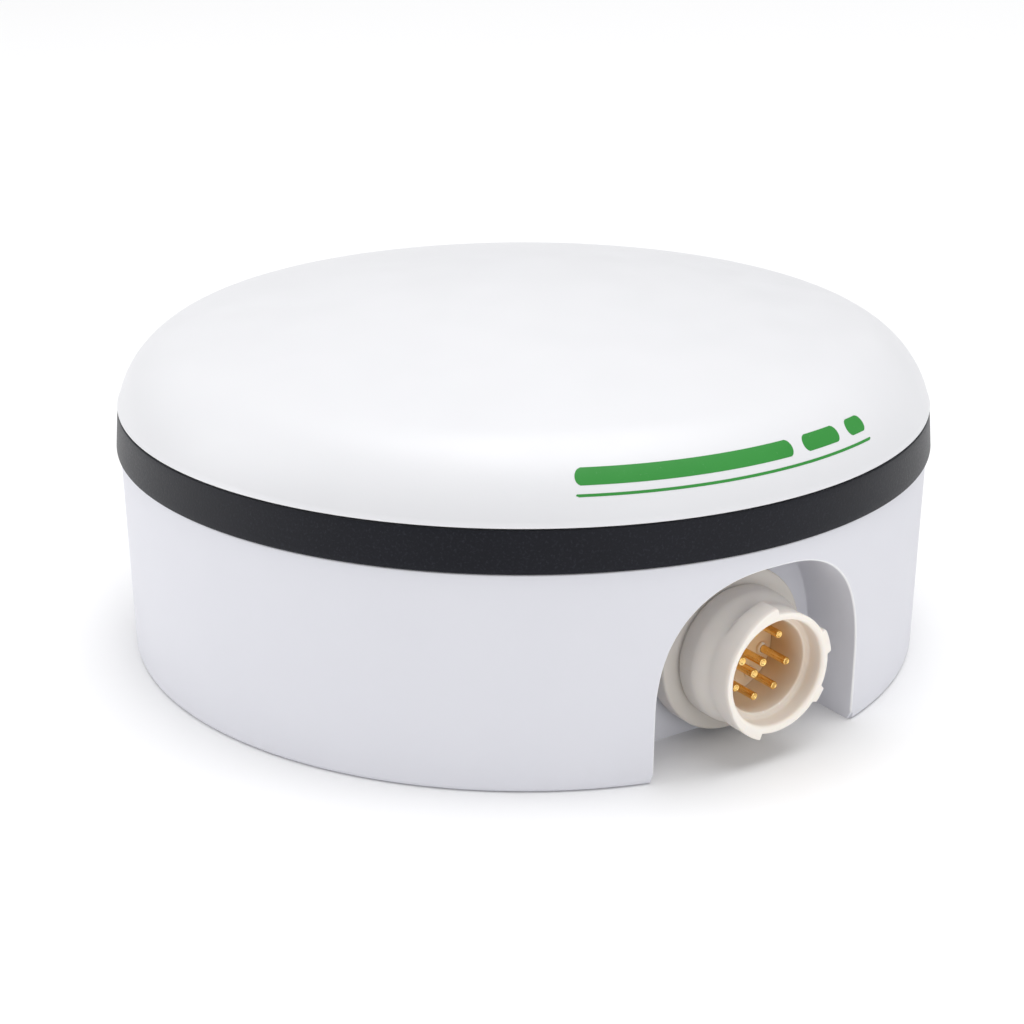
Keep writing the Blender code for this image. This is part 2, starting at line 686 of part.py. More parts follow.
def make_board_parts(metal, chip, ferrite, can, socket, parent):
    top = BOARD_BOTTOM + BOARD_THICKNESS + GAP
    prism("receiver_shield", box_outline((-4, 22), 44, 34, 1.0), top, top + 4, metal, parent)
    prism("processor_chip", box_outline((-30, -14), 17, 17, 0.4), top, top + 1.6, chip, parent)
    prism("power_inductor", box_outline((30, -16), 12, 12, 1.5), top, top + 5.5, ferrite, parent)
    profile = cylinder_profile(4.0, top, top + 5.8)
    make_group("capacitor", profile, [(8, -34), (20, -34)], can, parent)
    bottom = BOARD_BOTTOM - GAP
    prism("board_header", box_outline((0, -26), 24, 8, 0.5), bottom - 5.5, bottom, socket, parent)
    plug_top = bottom - 5.5 - GAP
    prism("harness_plug", box_outline((0, -26), 22, 7, 0.5), plug_top - 5, plug_top, socket, parent)
    return plug_top - 2.5


def make_antenna(metal, ceramic, board, steel, parent):
    feed = cylinder_profile(FEED_RADIUS + GAP, 30, TOTAL_HEIGHT)
    tool = turned_at_each("feed_hole_tool", feed, TINY, [FEED_AT])
    low = PLATE_BOTTOM
    plate = turned("ground_plate", cylinder_profile(PLATE_RADIUS, low, low + PLATE_THICKNESS), metal,
                   parent=parent)
    hole = cylinder_profile(SCREW_HOLE_RADIUS, low - 1, low + 3)
    spots = around(SPACER_CIRCLE, SPACER_ANGLES)
    cut(plate, turned_at_each("plate_holes_tool", hole, SMALL, spots))
    cut(plate, tool)
    board_top = low - GAP
    board_bottom = board_top - AMPLIFIER_THICKNESS
    profile = cylinder_profile(AMPLIFIER_RADIUS, board_bottom, board_top)
    cut(turned("amplifier_board", profile, board, MEDIUM, parent), tool)
    shield_top = board_bottom - GAP
    prism("amplifier_shield", box_outline((-8, 0), 18, 30, 1.0), shield_top - 4.5, shield_top, steel,
          parent)
    bottom = low + PLATE_THICKNESS + GAP
    for name, (side, thickness) in (("lower_patch", LOWER_PATCH), ("upper_patch", UPPER_PATCH)):
        outline = box_outline((0, 0), side, side, 3.0)
        cut(prism(name, outline, bottom, bottom + thickness, ceramic, parent), tool)
        bottom += thickness + GAP
    profile = [
        (0, board_bottom - 2), (FEED_RADIUS, board_bottom - 2), (FEED_RADIUS, bottom),
        (1.6, bottom), (1.6, bottom + 0.6), (0, bottom + 0.6),
    ]
    turned("feed_pin", profile, steel, TINY, parent, FEED_AT)
    return board_bottom


def main():
    clear_scene()
    white = make_material("white_plastic", WHITE_PLASTIC, 0.42)
    base_white = make_material("base_plastic", WHITE_PLASTIC, 0.5)
    dark = make_material("dark_plastic", DARK_PLASTIC, 0.6)
    ivory = make_material("ivory_nylon", IVORY_NYLON, 0.4)
    rubber = make_material("black_rubber", BLACK_RUBBER, 0.8)
    gold = make_material("gold_plate", (0.80, 0.58, 0.26), 0.25, 1.0)
    brass = make_material("brass", (0.62, 0.46, 0.20), 0.35, 1.0)
    steel = make_material("steel", (0.55, 0.55, 0.56), 0.35, 1.0)
    aluminium = make_material("aluminium", (0.70, 0.71, 0.72), 0.4, 1.0)
    nickel = make_material("magnet_nickel", (0.60, 0.59, 0.57), 0.3, 1.0)
    board_green = make_material("circuit_board", (0.02, 0.16, 0.07), 0.45)
    ceramic = make_material("patch_ceramic", (0.62, 0.54, 0.44), 0.6)
    chip_black = make_material("chip_black", (0.02, 0.02, 0.02), 0.5)
    wire = make_material("wire_sleeve", (0.03, 0.03, 0.03), 0.6)

    receiver = bpy.data.objects.new("receiver", None)
    bpy.context.scene.collection.objects.link(receiver)
    plug_axis = bpy.data.objects.new("plug_axis", None)
    bpy.context.scene.collection.objects.link(plug_axis)
    plug_axis.parent = receiver
    plug_axis.location = (0, 0, PLUG_AXIS_HEIGHT * MM)
    plug_axis.rotation_euler = (math.pi / 2, 0, 0)

    make_radome(white, receiver)
    make_trim_band(dark, receiver)
    make_gasket(rubber, receiver)
    make_base(base_white, receiver)

    make_connector_shell(ivory, plug_axis)
    make_connector_insert(ivory, plug_axis)
    make_contact_pins(gold, plug_axis)
    make_connector_gasket(rubber, plug_axis)
    make_connector_nut(ivory, plug_axis)

    make_case_screws(steel, receiver)
    make_spacers(brass, receiver)
    make_plate_screws(steel, receiver)
    make_magnets(nickel, receiver)
    make_thread_inserts(brass, receiver)
    make_vent(rubber, receiver)

    make_main_board(board_green, receiver)
    plug_height = make_board_parts(steel, chip_black, chip_black, aluminium, chip_black, receiver)
    coax_top = make_antenna(aluminium, ceramic, board_green, steel, receiver)
    start = (0, GAP - PIN_REAR + 0.6, PLUG_AXIS_HEIGHT)
    end = (0, -30.2, plug_height)
    middle = [(0, -42, PLUG_AXIS_HEIGHT), (0, -34.5, plug_height)]
    lead("harness_lead", [start, *middle, end], 2.2, wire, receiver)
    board_top = BOARD_BOTTOM + BOARD_THICKNESS
    route = [(14, 8, coax_top - 0.6), (15, 9, coax_top - 3), (24, 14, board_top + 4),
             (26, 15, board_top + 0.6)]
    lead("coax_lead", route, 0.9, wire, receiver)


main()
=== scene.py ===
"""Looks of a roof-top satellite positioning receiver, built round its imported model.

Sizes named below are in millimetres and MM turns them into metres. Everything stands in the
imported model's frame: the turning axis is Z, the floor is at Z = 0, and the receptacle faces -Y.
"""

import json
import math

import bmesh
import bpy
from mathutils import Matrix, Vector


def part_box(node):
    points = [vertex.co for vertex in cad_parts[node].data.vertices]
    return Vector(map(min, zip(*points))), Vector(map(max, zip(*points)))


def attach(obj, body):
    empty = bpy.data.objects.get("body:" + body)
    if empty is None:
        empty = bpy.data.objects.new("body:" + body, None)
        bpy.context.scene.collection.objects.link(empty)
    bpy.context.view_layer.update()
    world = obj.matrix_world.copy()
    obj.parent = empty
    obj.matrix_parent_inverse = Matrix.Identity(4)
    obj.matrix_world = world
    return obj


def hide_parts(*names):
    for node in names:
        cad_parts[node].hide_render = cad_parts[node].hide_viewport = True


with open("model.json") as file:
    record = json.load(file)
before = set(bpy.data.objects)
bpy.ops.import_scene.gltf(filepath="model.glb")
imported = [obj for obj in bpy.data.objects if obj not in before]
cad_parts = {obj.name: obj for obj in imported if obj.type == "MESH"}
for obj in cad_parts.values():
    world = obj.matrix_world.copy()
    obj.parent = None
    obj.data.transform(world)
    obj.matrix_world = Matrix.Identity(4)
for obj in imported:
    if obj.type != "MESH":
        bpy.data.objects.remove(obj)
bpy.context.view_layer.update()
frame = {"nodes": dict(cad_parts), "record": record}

MM = 0.001
BODY = "root"

# Sizes read from the frame
BAND_LOW, BAND_HIGH = (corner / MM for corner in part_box("trim_band"))
BASE_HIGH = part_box("base_housing")[1] / MM
SHELL_LOW, SHELL_HIGH = (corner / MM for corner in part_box("connector_shell"))
INSERT_LOW, INSERT_HIGH = (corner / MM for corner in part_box("connector_insert"))
GASKET_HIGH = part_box("connector_gasket")[1] / MM
TOTAL_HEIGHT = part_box("radome")[1].z / MM
SPIGOT_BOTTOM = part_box("radome")[0].z / MM
BAND_RADIUS = BAND_HIGH.x
BAND_TOP = BAND_HIGH.z
BAND_BOTTOM = BAND_LOW.z
BASE_TOP_RADIUS = BASE_HIGH.x
PLUG_HEIGHT = (INSERT_LOW.z + INSERT_HIGH.z) / 2
RIM_FRONT = -SHELL_LOW.y
SHELL_REAR = -SHELL_HIGH.y
GASKET_SINK = 0.3               # how far the gasket is let into the bay's back wall
BAY_BACK = -GASKET_HIGH.y - GASKET_SINK

# The housing's own sizes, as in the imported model
GAP = 0.3
DOME_RADIUS = 76.9
DOME_EDGE_RADIUS = 16.8
DOME_EDGE_START = math.radians(11.3)
DOME_WALL = 2.6
RIM_SOFTENING = 0.22            # rounding of the cover's rim and of the band's edges
BAND_INNER_RADIUS = 74.9
SPIGOT_RADIUS = 73.1
SPIGOT_WALL = 2.2
BASE_FOOT_RADIUS = 76.2
BASE_FOOT_ROUNDING = 1.0
BASE_TOP_SOFTENING = 0.2
BASE_WALL_INNER = 73.4
BASE_FLOOR = 3.0
LIP_RADIUS = BAND_INNER_RADIUS - GAP
LEDGE_RADIUS = 70.6
LEDGE_TOP = 37.4
BAY_HALF_WIDTH = 21.8
BAY_SPRING = 11.17
BAY_TOP = 35.72
BAY_POWER = 2.47
BAY_MOUTH_ROUNDING = 0.5
BAY_CORNER_ROUNDING = 0.35

# The underside's bosses and recesses
EDGE_BREAK = 0.35               # chamfer of each recess's mouth
BELOW = -1.0                    # where cutting tools start, under the base
MAGNET_RADIUS = 12.5
MAGNET_POCKET_RADIUS = 12.8
MAGNET_BOSS_RADIUS = 14.5
MAGNET_BOSS_ROOF = 2.3
SCREW_WELL_RADIUS = 3.3
SCREW_WELL_TOP = 7.9
SCREW_HOLE_RADIUS = 1.9
SCREW_POST_RADIUS = 3.6
SCREW_POST_TOP = 39.5
BOSS_RADIUS = 5.0
BOSS_TOP = 9.0
INSERT_BOSS_TOP = 11.0
INSERT_SEAT_TOP = 8.6
SPACER_POST_RADIUS = 4.0
SPACER_POST_TOP = 27.7
SPACER_HOLE_RADIUS = 1.8
SPACER_HOLE_BOTTOM = 18.0
VENT_SEAT_RADIUS = 6.3
VENT_SEAT_TOP = 1.6
VENT_HOLE_RADIUS = 3.3
TUBE_HOLE_RADIUS = 10.6         # the receptacle's rear tube goes through the bay's back wall
TUBE_HOLE_BACK = 50.0
TUBE_HOLE_FRONT = 61.0

# The green print on the cover: name, from and to angles in degrees, lowest and highest points
PRINTED_STRIPS = (
    ("printed_arc_broad", -117, -86, 53.5, 55.9),
    ("printed_dash_1", -84, -77, 53.5, 55.9),
    ("printed_dash_2", -75, -71, 53.5, 55.9),
    ("printed_arc_thin", -117, -71, 51.9, 52.5),
)
INK_LIFT = 0.03                 # how far the ink stands above the cover
INK_DEPTH = 0.12
INK_ROUNDING = 1.2              # how far a strip's ends bow in at its edges

# The receptacle's own sizes
SHELL_REAR_RADIUS = 10.2
FLANGE_BACK = 61.8
FLANGE_FRONT = 65.8
FLANGE_RADIUS = 15.0
GROOVE_RADIUS = 11.6
COLLAR_BACK = 66.35
COLLAR_FRONT = 69.4
COLLAR_RADIUS = 12.1
BARREL_BACK = 73.2
BARREL_RADIUS = 10.85
CUP_RADIUS = 9.55
CUP_LEDGE = 74.7
CUP_LIP = 0.75
TUBE_RADIUS = 8.4
LUG_LENGTH = 4.6
LUGS = (                        # from and to angles, heights there, softness of each end
    (93, 140, 1.2, 0.0, 0.6, 14),
    (204, 253, 0.0, 1.2, 14, 0.6),
    (7, 29, 0.8, 0.8, 1.5, 1.5),
    (319, 333, 0.8, 0.8, 1.5, 1.5),
)
PIN_SETS = (                    # pin radius, and each pin's distance and angle
    (0.7, ((6.0, 48), (6.0, 103), (6.0, 158), (6.0, -147), (6.0, -99), (6.0, -56), (6.0, -10))),
    (0.8, ((1.6, -19), (3.2, 165), (2.2, -99))),
)

FINE = 288                      # sides of the housing's turned surfaces
PLUG_SIDES = 480                # sides of the receptacle
DISC_SIDES = 96                 # sides of magnets and of the cup's floor
SMALL = 40                      # sides of screws and their holes
PIN_SIDES = 32
SHARP_ANGLE = math.radians(35)  # edges that turn more than this are shaded as edges

# The camera: its direction round the object and its aim, solved for the view
CAMERA_AZIMUTH = math.radians(-33.39)
CAMERA_ELEVATION = math.radians(19.56)
CAMERA_DISTANCE = 411.5
CAMERA_AIM_HEIGHT = 29.77
CAMERA_PITCH = math.radians(20.66)
CAMERA_YAW = math.radians(-0.323)
CAMERA_ROLL = math.radians(-0.116)
CAMERA_LENS = 74.1
CAMERA_SENSOR = 36.0

# The studio, in metres: each light's place is given in the camera's heading
FLOOR_HALF = 8.0
SURROUND_STRENGTH = 0.46
LIGHT_AIM = (0, 0, 0.03)
SOFT_BOXES = (                  # name, place, size and power
    ("top_box", (0.375, 0.25, 4.00), (3.3, 3.3), 130.0),
    ("left_box", (-0.78, -0.05, 0.34), (0.5, 0.6), 1.75),
    ("right_box", (0.46, -0.72, 0.26), (0.5, 0.4), 1.1),
)


# ---- Meshes ----------------------------------------------------------------------------------

def arc(centre, radius, start, end, steps):
    """Points on an arc of a profile, from one angle in degrees to another."""
    points = []
    for step in range(steps + 1):
        angle = math.radians(start + (end - start) * step / steps)
        points.append((centre[0] + radius * math.cos(angle), centre[1] + radius * math.sin(angle)))
    return points


def add_turned(bm, profile, sides, centre=(0.0, 0.0), shape=None):
    """Adds a closed turned body. A profile that starts and ends on the axis is solid, and any
    other is closed into a ring. A shape function may move a point by its angle."""
    rings = []
    for radius, height in profile:
        if radius < 1e-6:
            rings.append([bm.verts.new((centre[0] * MM, centre[1] * MM, height * MM))])
            continue
        ring = []
        for step in range(sides):
            angle = 2 * math.pi * step / sides
            r, h = shape(angle, radius, height) if shape else (radius, height)
            x = centre[0] + r * math.cos(angle)
            y = centre[1] + r * math.sin(angle)
            ring.append(bm.verts.new((x * MM, y * MM, h * MM)))
        rings.append(ring)
    pairs = list(zip(rings, rings[1:]))
    if len(rings[0]) > 1:
        pairs.append((rings[-1], rings[0]))
    for end, beside in ((0, 1), (-1, -2)):
        if len(rings[end]) == 1 and profile[end][1] == profile[beside][1]:
            bm.verts.remove(rings[end][0])
            pairs.pop(end)
            bm.faces.new(rings[beside])
    for low, high in pairs:
        for step in range(sides):
            after = (step + 1) % sides
            corners = [low[step % len(low)], low[after % len(low)]]
            corners += [high[after % len(high)], high[step % len(high)]]
            bm.faces.new(list(dict.fromkeys(corners)))


def finish_mesh(name, bm):
    bmesh.ops.recalc_face_normals(bm, faces=bm.faces)
    mesh = bpy.data.meshes.new(name)
    bm.to_mesh(mesh)
    bm.free()
    mesh.shade_smooth()
    mesh.set_sharp_from_angle(angle=SHARP_ANGLE)
    item = bpy.data.objects.new(name, mesh)
    bpy.context.scene.collection.objects.link(item)
    return item


def turned(name, profile, sides=FINE, places=((0.0, 0.0),), shape=None):
    bm = bmesh.new()
    for place in places:
        add_turned(bm, profile, sides, place, shape)
    return finish_mesh(name, bm)


def facing_out(item):
    """Turns a piece modelled about +Z so that it points along the receptacle's axis."""
    item.rotation_euler = (math.pi / 2, 0, 0)
    item.location = (0, 0, PLUG_HEIGHT * MM)
    return item


def combine(item, tool, operation):
    """Applies a Boolean and removes its tool."""
    bpy.context.view_layer.update()
    modifier = item.modifiers.new("combine", "BOOLEAN")
    modifier.operation = operation
    modifier.solver = "EXACT"
    modifier.object = tool
    graph = bpy.context.evaluated_depsgraph_get()
    mesh = bpy.data.meshes.new_from_object(item.evaluated_get(graph))
    item.modifiers.clear()
    item.data = mesh
    bpy.data.objects.remove(tool, do_unlink=True)
    mesh.shade_smooth()
    mesh.set_sharp_from_angle(angle=SHARP_ANGLE)
    return item


def cylinder_profile(radius, bottom, top):
    return [(0, bottom), (radius, bottom), (radius, top), (0, top)]


def around(circle, angles):
    spots = []
    for degrees in angles:
        angle = math.radians(degrees)
        spots.append((circle * math.cos(angle), circle * math.sin(angle)))
    return spots


def middle(node):
    """A CAD node's (x, y) middle, in millimetres."""
    low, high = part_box(node)
    return (low.x + high.x) / 2 / MM, (low.y + high.y) / 2 / MM


def middles(stem, count):
    return [middle(f"{stem}_{number}") for number in range(1, count + 1)]


def levels(node):
    """A CAD node's lowest and highest heights, in millimetres."""
    low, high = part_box(node)
    return low.z / MM, high.z / MM


def recess(radius, top):
    """A recess cut up from the underside, with a chamfered mouth, up to its top edge."""
    wide = radius + EDGE_BREAK
    return [(0, BELOW), (wide, BELOW), (wide, 0), (radius, EDGE_BREAK), (radius, top)]


def put_on(item, material, slot, *nodes):
    """Gives a piece its material, rides it on the body and lets it stand for nodes. The slot is not
    used.
    """
    item.data.materials.clear()
    item.data.materials.append(material)
    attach(item, BODY)
    if nodes:
        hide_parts(*nodes)
    return item


# ---- Materials -------------------------------------------------------------------------------

class Finish:
    """Builds one material's nodes around a Principled shader."""

    def __init__(self, name, **constants):
        self.material = bpy.data.materials.new(name)
        self.material.use_nodes = True
        self.nodes = self.material.node_tree.nodes
        self.links = self.material.node_tree.links
        self.shader = self.nodes["Principled BSDF"]
        for socket, value in constants.items():
            self.shader.inputs[socket.replace("_", " ")].default_value = value
        self.place = self.nodes.new("ShaderNodeTexCoord").outputs["Object"]

    def link(self, source, target):
        self.links.new(source, target)

    def scaled(self, stretch):
        """The place stretched along each axis."""
        mapping = self.nodes.new("ShaderNodeMapping")
        mapping.inputs["Scale"].default_value = stretch
        self.link(self.place, mapping.inputs["Vector"])
        return mapping.outputs["Vector"]

    def noise(self, size, detail=3.0, roughness=0.5, stretch=None):
        """Noise whose features are about size millimetres across."""
        node = self.nodes.new("ShaderNodeTexNoise")
        node.inputs["Scale"].default_value = 1 / (size * MM)
        node.inputs["Detail"].default_value = detail
        node.inputs["Roughness"].default_value = roughness
        self.link(self.scaled(stretch) if stretch else self.place, node.inputs["Vector"])
        return node.outputs["Fac"]

    def cells(self, size, feature="F1"):
        node = self.nodes.new("ShaderNodeTexVoronoi")
        node.feature = feature
        node.inputs["Scale"].default_value = 1 / (size * MM)
        self.link(self.place, node.inputs["Vector"])
        return node.outputs["Distance"]

    def spread(self, source, low, high, to_low=0.0, to_high=1.0):
        """Maps a range of values onto another, clamped."""
        node = self.nodes.new("ShaderNodeMapRange")
        for socket, value in zip(("From Min", "From Max", "To Min", "To Max"),
                                 (low, high, to_low, to_high)):
            node.inputs[socket].default_value = value
        self.link(source, node.inputs["Value"])
        return node.outputs["Result"]

    def maths(self, operation, first, second):
        node = self.nodes.new("ShaderNodeMath")
        node.operation = operation
        for socket, value in zip(node.inputs, (first, second)):
            if isinstance(value, (int, float)):
                socket.default_value = value
            else:
                self.link(value, socket)
        return node.outputs["Value"]

    def blend(self, factor, first, second):
        """Mixes two colours, each a tuple or a node's output."""
        node = self.nodes.new("ShaderNodeMix")
        node.data_type = "RGBA"
        for socket, value in ((node.inputs[6], first), (node.inputs[7], second)):
            if isinstance(value, tuple):
                socket.default_value = (*value, 1.0)
            else:
                self.link(value, socket)
        self.link(factor, node.inputs[0])
        return node.outputs[2]

    def axis(self, letter):
        """The place along one of the piece's own axes, in metres."""
        node = self.nodes.new("ShaderNodeSeparateXYZ")
        self.link(self.place, node.inputs["Vector"])
        return node.outputs[letter]

    def height(self):
        return self.axis("Z")

    def reach(self):
        """The place's distance from its own Z axis, in metres."""
        squares = [self.maths("POWER", self.axis(letter), 2) for letter in ("X", "Y")]
        return self.maths("SQRT", self.maths("ADD", *squares), 0)

    def wall_depth(self):
        """How far the place lies inside the base's tapered wall, in metres."""
        taper = (BASE_TOP_RADIUS - BASE_FOOT_RADIUS) / (BAND_BOTTOM - GAP - BASE_FOOT_ROUNDING)
        start = (BASE_FOOT_RADIUS - BASE_FOOT_ROUNDING * taper) * MM
        wall = self.maths("ADD", self.maths("MULTIPLY", self.height(), taper), start)
        return self.maths("SUBTRACT", wall, self.reach())

    def edges(self, low=0.52, high=0.62):
        """1 on raised edges and 0 elsewhere."""
        node = self.nodes.new("ShaderNodeNewGeometry")
        return self.spread(node.outputs["Pointiness"], low, high)

    def colour(self, source):
        self.link(source, self.shader.inputs["Base Color"])

    def roughness(self, source, low, high):
        self.link(self.spread(source, 0.3, 0.7, low, high), self.shader.inputs["Roughness"])

    def bump(self, *layers):
        """Stacks bumps, each a source with its depth in millimetres and strength."""
        normal = None
        for source, depth, strength in layers:
            node = self.nodes.new("ShaderNodeBump")
            node.inputs["Distance"].default_value = depth * MM
            node.inputs["Strength"].default_value = strength
            self.link(source, node.inputs["Height"])
            if normal:
                self.link(normal, node.inputs["Normal"])
            normal = node.outputs["Normal"]
        self.link(normal, self.shader.inputs["Normal"])


def white_cover():
    """Satin moulded white plastic with a fine grain and a faint cool mottle."""
    finish = Finish("cover_white", Roughness=0.4, Specular_IOR_Level=0.42)
    mottle = finish.noise(38, 3)
    grain = finish.noise(0.55, 2)
    tone = finish.blend(mottle, (0.745, 0.748, 0.772), (0.775, 0.777, 0.797))
    speck = finish.spread(grain, 0.32, 0.68)
    # Raised edges are painted lighter: part edge wear, part painted highlight.
    edge_worn_and_highlit = finish.blend(finish.edges(), tone, (0.82, 0.825, 0.845))
    finish.colour(finish.blend(speck, edge_worn_and_highlit, tone))
    finish.roughness(finish.noise(9, 3), 0.36, 0.46)
    finish.bump((finish.noise(6.0, 2), 0.05, 0.12), (grain, 0.02, 0.30))
    return finish.material


def white_base():
    """Semi-matte white plastic, a little cooler, with faint handling marks near its foot."""
    finish = Finish("base_white", Roughness=0.5, Specular_IOR_Level=0.38)
    mottle = finish.noise(30, 4)
    tone = finish.blend(mottle, (0.735, 0.738, 0.790), (0.775, 0.778, 0.826))
    low = finish.spread(finish.height(), 0.0, 0.007, 1.0, 0.0)
    marks = finish.spread(finish.noise(5, 5, 0.7), 0.55, 0.8)
    dusty = finish.blend(finish.maths("MULTIPLY", low, finish.maths("MULTIPLY", marks, 0.25)),
                         tone, (0.66, 0.66, 0.68))
    # Painted highlight: the rounding of the bay's mouth, lying just inside the wall's surface, is
    # painted near-white, as if it catches the light.
    depth = finish.wall_depth()
    painted_edge_highlight = finish.maths("MULTIPLY", finish.spread(depth, 0.02 * MM, 0.10 * MM),
                        finish.spread(depth, 0.35 * MM, 0.52 * MM, 1.0, 0.0))
    painted_edge_highlight = finish.maths("MULTIPLY", painted_edge_highlight, finish.spread(finish.height(), 0.0012, 0.0022))
    finish.colour(finish.blend(painted_edge_highlight, dusty, (0.96, 0.96, 0.98)))
    finish.roughness(finish.noise(12, 3), 0.46, 0.56)
    finish.bump((finish.noise(7.0, 2), 0.05, 0.10), (finish.noise(0.6, 2), 0.02, 0.30))
    return finish.material


def charcoal():
    """Spark-eroded charcoal plastic: a dense fine grain with paler peaks."""
    finish = Finish("band_charcoal", Roughness=0.5, Specular_IOR_Level=0.20, Sheen_Weight=0.15,
                    Sheen_Roughness=0.45)
    grain = finish.noise(0.42, 3, 0.6)
    patches = finish.noise(14, 3)
    dark = finish.blend(patches, (0.0028, 0.0034, 0.0072), (0.0050, 0.0058, 0.0112))
    peaks = finish.spread(grain, 0.52, 0.74)
    grainy = finish.blend(finish.maths("MULTIPLY", peaks, 0.45), dark, (0.032, 0.034, 0.045))
    # Raised edges are painted paler: part edge wear, part painted highlight.
    edges = finish.maths("MULTIPLY", finish.edges(), 0.4)
    finish.colour(finish.blend(edges, grainy, (0.09, 0.09, 0.10)))
    finish.roughness(grain, 0.44, 0.62)
    finish.bump((grain, 0.05, 0.55), (finish.cells(0.7), 0.03, 0.2))
    return finish.material


def nylon(name, outside, inside, roughness):
    """Unpigmented nylon: waxy and faintly cloudy. Painted shade darkens it towards the bay,
    inside the cup a warm painted shade deepens with depth, and the cup's lower inside and its rim
    carry painted light."""
    finish = Finish(name, Roughness=roughness, Specular_IOR_Level=0.45, Subsurface_Weight=0.2,
                    Subsurface_Radius=(1.0, 0.7, 0.45), Subsurface_Scale=0.0012)
    within = finish.spread(finish.reach(), CUP_RADIUS * MM, (CUP_RADIUS + 0.5) * MM, 1.0, 0.0)
    depth = finish.spread(finish.height(), (RIM_FRONT - 9) * MM, (RIM_FRONT - 1.2) * MM, 1.0, 0.0)
    front = finish.spread(finish.height(), FLANGE_FRONT * MM, (BARREL_BACK + 1) * MM)
    cloud = finish.noise(4.5, 4, 0.6)
    outer = finish.blend(cloud, outside, tuple(0.94 * part for part in outside))
    # Painted shade: the flange and collar, deep in the bay, are painted darker towards the rear.
    outer = finish.blend(front, tuple(0.76 * part for part in outside), outer)
    inner = finish.blend(cloud, inside, tuple(0.9 * part for part in inside))
    # Painted light: the lower inside of the cup is painted pale, as if lit from above.
    above_painted_light = finish.spread(finish.axis("Y"), -8.8 * MM, -4.0 * MM)
    inner = finish.blend(above_painted_light, (0.98, 0.87, 0.73), inner)
    # Painted shade: inside the cup the tone turns a darker, warmer amber with depth.
    tone = finish.blend(finish.maths("MULTIPLY", within, depth), outer, inner)
    # Painted highlight: the rim's front lip is painted paler.
    rim = finish.spread(finish.height(), (RIM_FRONT - 1.1) * MM, (RIM_FRONT - 0.3) * MM)
    tone = finish.blend(rim, tone, (0.96, 0.90, 0.83))
    # Raised edges are painted paler: part edge wear, part painted highlight.
    finish.colour(finish.blend(finish.edges(0.53, 0.66), tone, (0.93, 0.90, 0.85)))
    finish.roughness(finish.noise(1.6, 3), roughness - 0.05, roughness + 0.08)
    finish.bump((finish.noise(2.2, 3), 0.03, 0.25), (finish.noise(0.35, 2), 0.01, 0.25))
    return finish.material


def plated(name, tone_a, tone_b, low, high, stretch=(1, 1, 1), size=0.5):
    """A metal with faint drawn lines and patches of tarnish."""
    finish = Finish(name, Metallic=1.0, Roughness=(low + high) / 2)
    lines = finish.noise(size, 4, 0.6, stretch)
    tarnish = finish.spread(finish.noise(size * 6, 3), 0.35, 0.65)
    finish.colour(finish.blend(tarnish, tone_a, tone_b))
    finish.roughness(lines, low, high)
    finish.bump((lines, 0.01, 0.3))
    return finish.material


def rubber(name, tone_a, tone_b):
    finish = Finish(name, Roughness=0.8, Specular_IOR_Level=0.3)
    finish.colour(finish.blend(finish.noise(2.5, 4), tone_a, tone_b))
    finish.roughness(finish.noise(1.5, 3), 0.7, 0.9)
    finish.bump((finish.noise(0.3, 3), 0.03, 0.4))
    return finish.material


def circuit():
    """Green solder mask over copper: cell borders stand for the routed tracks."""
    finish = Finish("circuit_green", Roughness=0.4, Specular_IOR_Level=0.5)
    tracks = finish.spread(finish.cells(3.2, "DISTANCE_TO_EDGE"), 0.03, 0.07)
    mask = finish.blend(finish.noise(20, 3), (0.010, 0.110, 0.045), (0.016, 0.145, 0.060))
    finish.colour(finish.blend(tracks, (0.035, 0.22, 0.10), mask))
    finish.roughness(finish.noise(4, 3), 0.32, 0.48)
    finish.bump((tracks, 0.03, 0.5))
    return finish.material


def ceramic():
    finish = Finish("patch_ceramic", Roughness=0.6, Specular_IOR_Level=0.4)
    finish.colour(finish.blend(finish.noise(0.8, 4), (0.52, 0.44, 0.35), (0.64, 0.56, 0.46)))
    finish.roughness(finish.noise(1.2, 3), 0.52, 0.7)
    finish.bump((finish.noise(0.25, 3), 0.02, 0.4))
    return finish.material


def ink():
    """Green pad-printed ink: even, with the faint pinholes that printing leaves."""
    finish = Finish("green_ink", Roughness=0.5, Specular_IOR_Level=0.3)
    tone = finish.blend(finish.noise(11, 3), (0.028, 0.240, 0.036), (0.040, 0.285, 0.050))
    pinholes = finish.spread(finish.noise(0.35, 3, 0.6), 0.66, 0.8)
    finish.colour(finish.blend(finish.maths("MULTIPLY", pinholes, 0.4), tone, (0.30, 0.50, 0.32)))
    finish.roughness(finish.noise(3, 3), 0.46, 0.58)
    finish.bump((finish.noise(0.4, 2), 0.01, 0.3))
    return finish.material


def studio_floor():
    finish = Finish("studio_floor", Roughness=0.7, Specular_IOR_Level=0.15)
    finish.colour(finish.blend(finish.noise(400, 2), (0.90, 0.90, 0.905), (0.915, 0.915, 0.92)))
    return finish.material


# ---- Housing ---------------------------------------------------------------------------------

def dome_profile(wall, crown_steps, edge_steps):
    """The dome's profile from its crown to its rim, set in from the outside by a wall."""
    centre_radius = DOME_RADIUS - DOME_EDGE_RADIUS * math.cos(DOME_EDGE_START)
    centre_height = BAND_TOP - DOME_EDGE_RADIUS * math.sin(DOME_EDGE_START)
    rise = TOTAL_HEIGHT - centre_height
    crown = (centre_radius ** 2 + rise ** 2 - DOME_EDGE_RADIUS ** 2) / 2
    crown /= rise - DOME_EDGE_RADIUS
    crown_centre = TOTAL_HEIGHT - crown
    meet = math.degrees(math.atan2(centre_height - crown_centre, centre_radius))
    points = arc((0, crown_centre), crown - wall, 90, meet, crown_steps)
    points[0] = (0.0, TOTAL_HEIGHT - wall)
    points += arc((centre_radius, centre_height), DOME_EDGE_RADIUS - wall, meet,
                  math.degrees(DOME_EDGE_START), edge_steps)[1:]
    return points


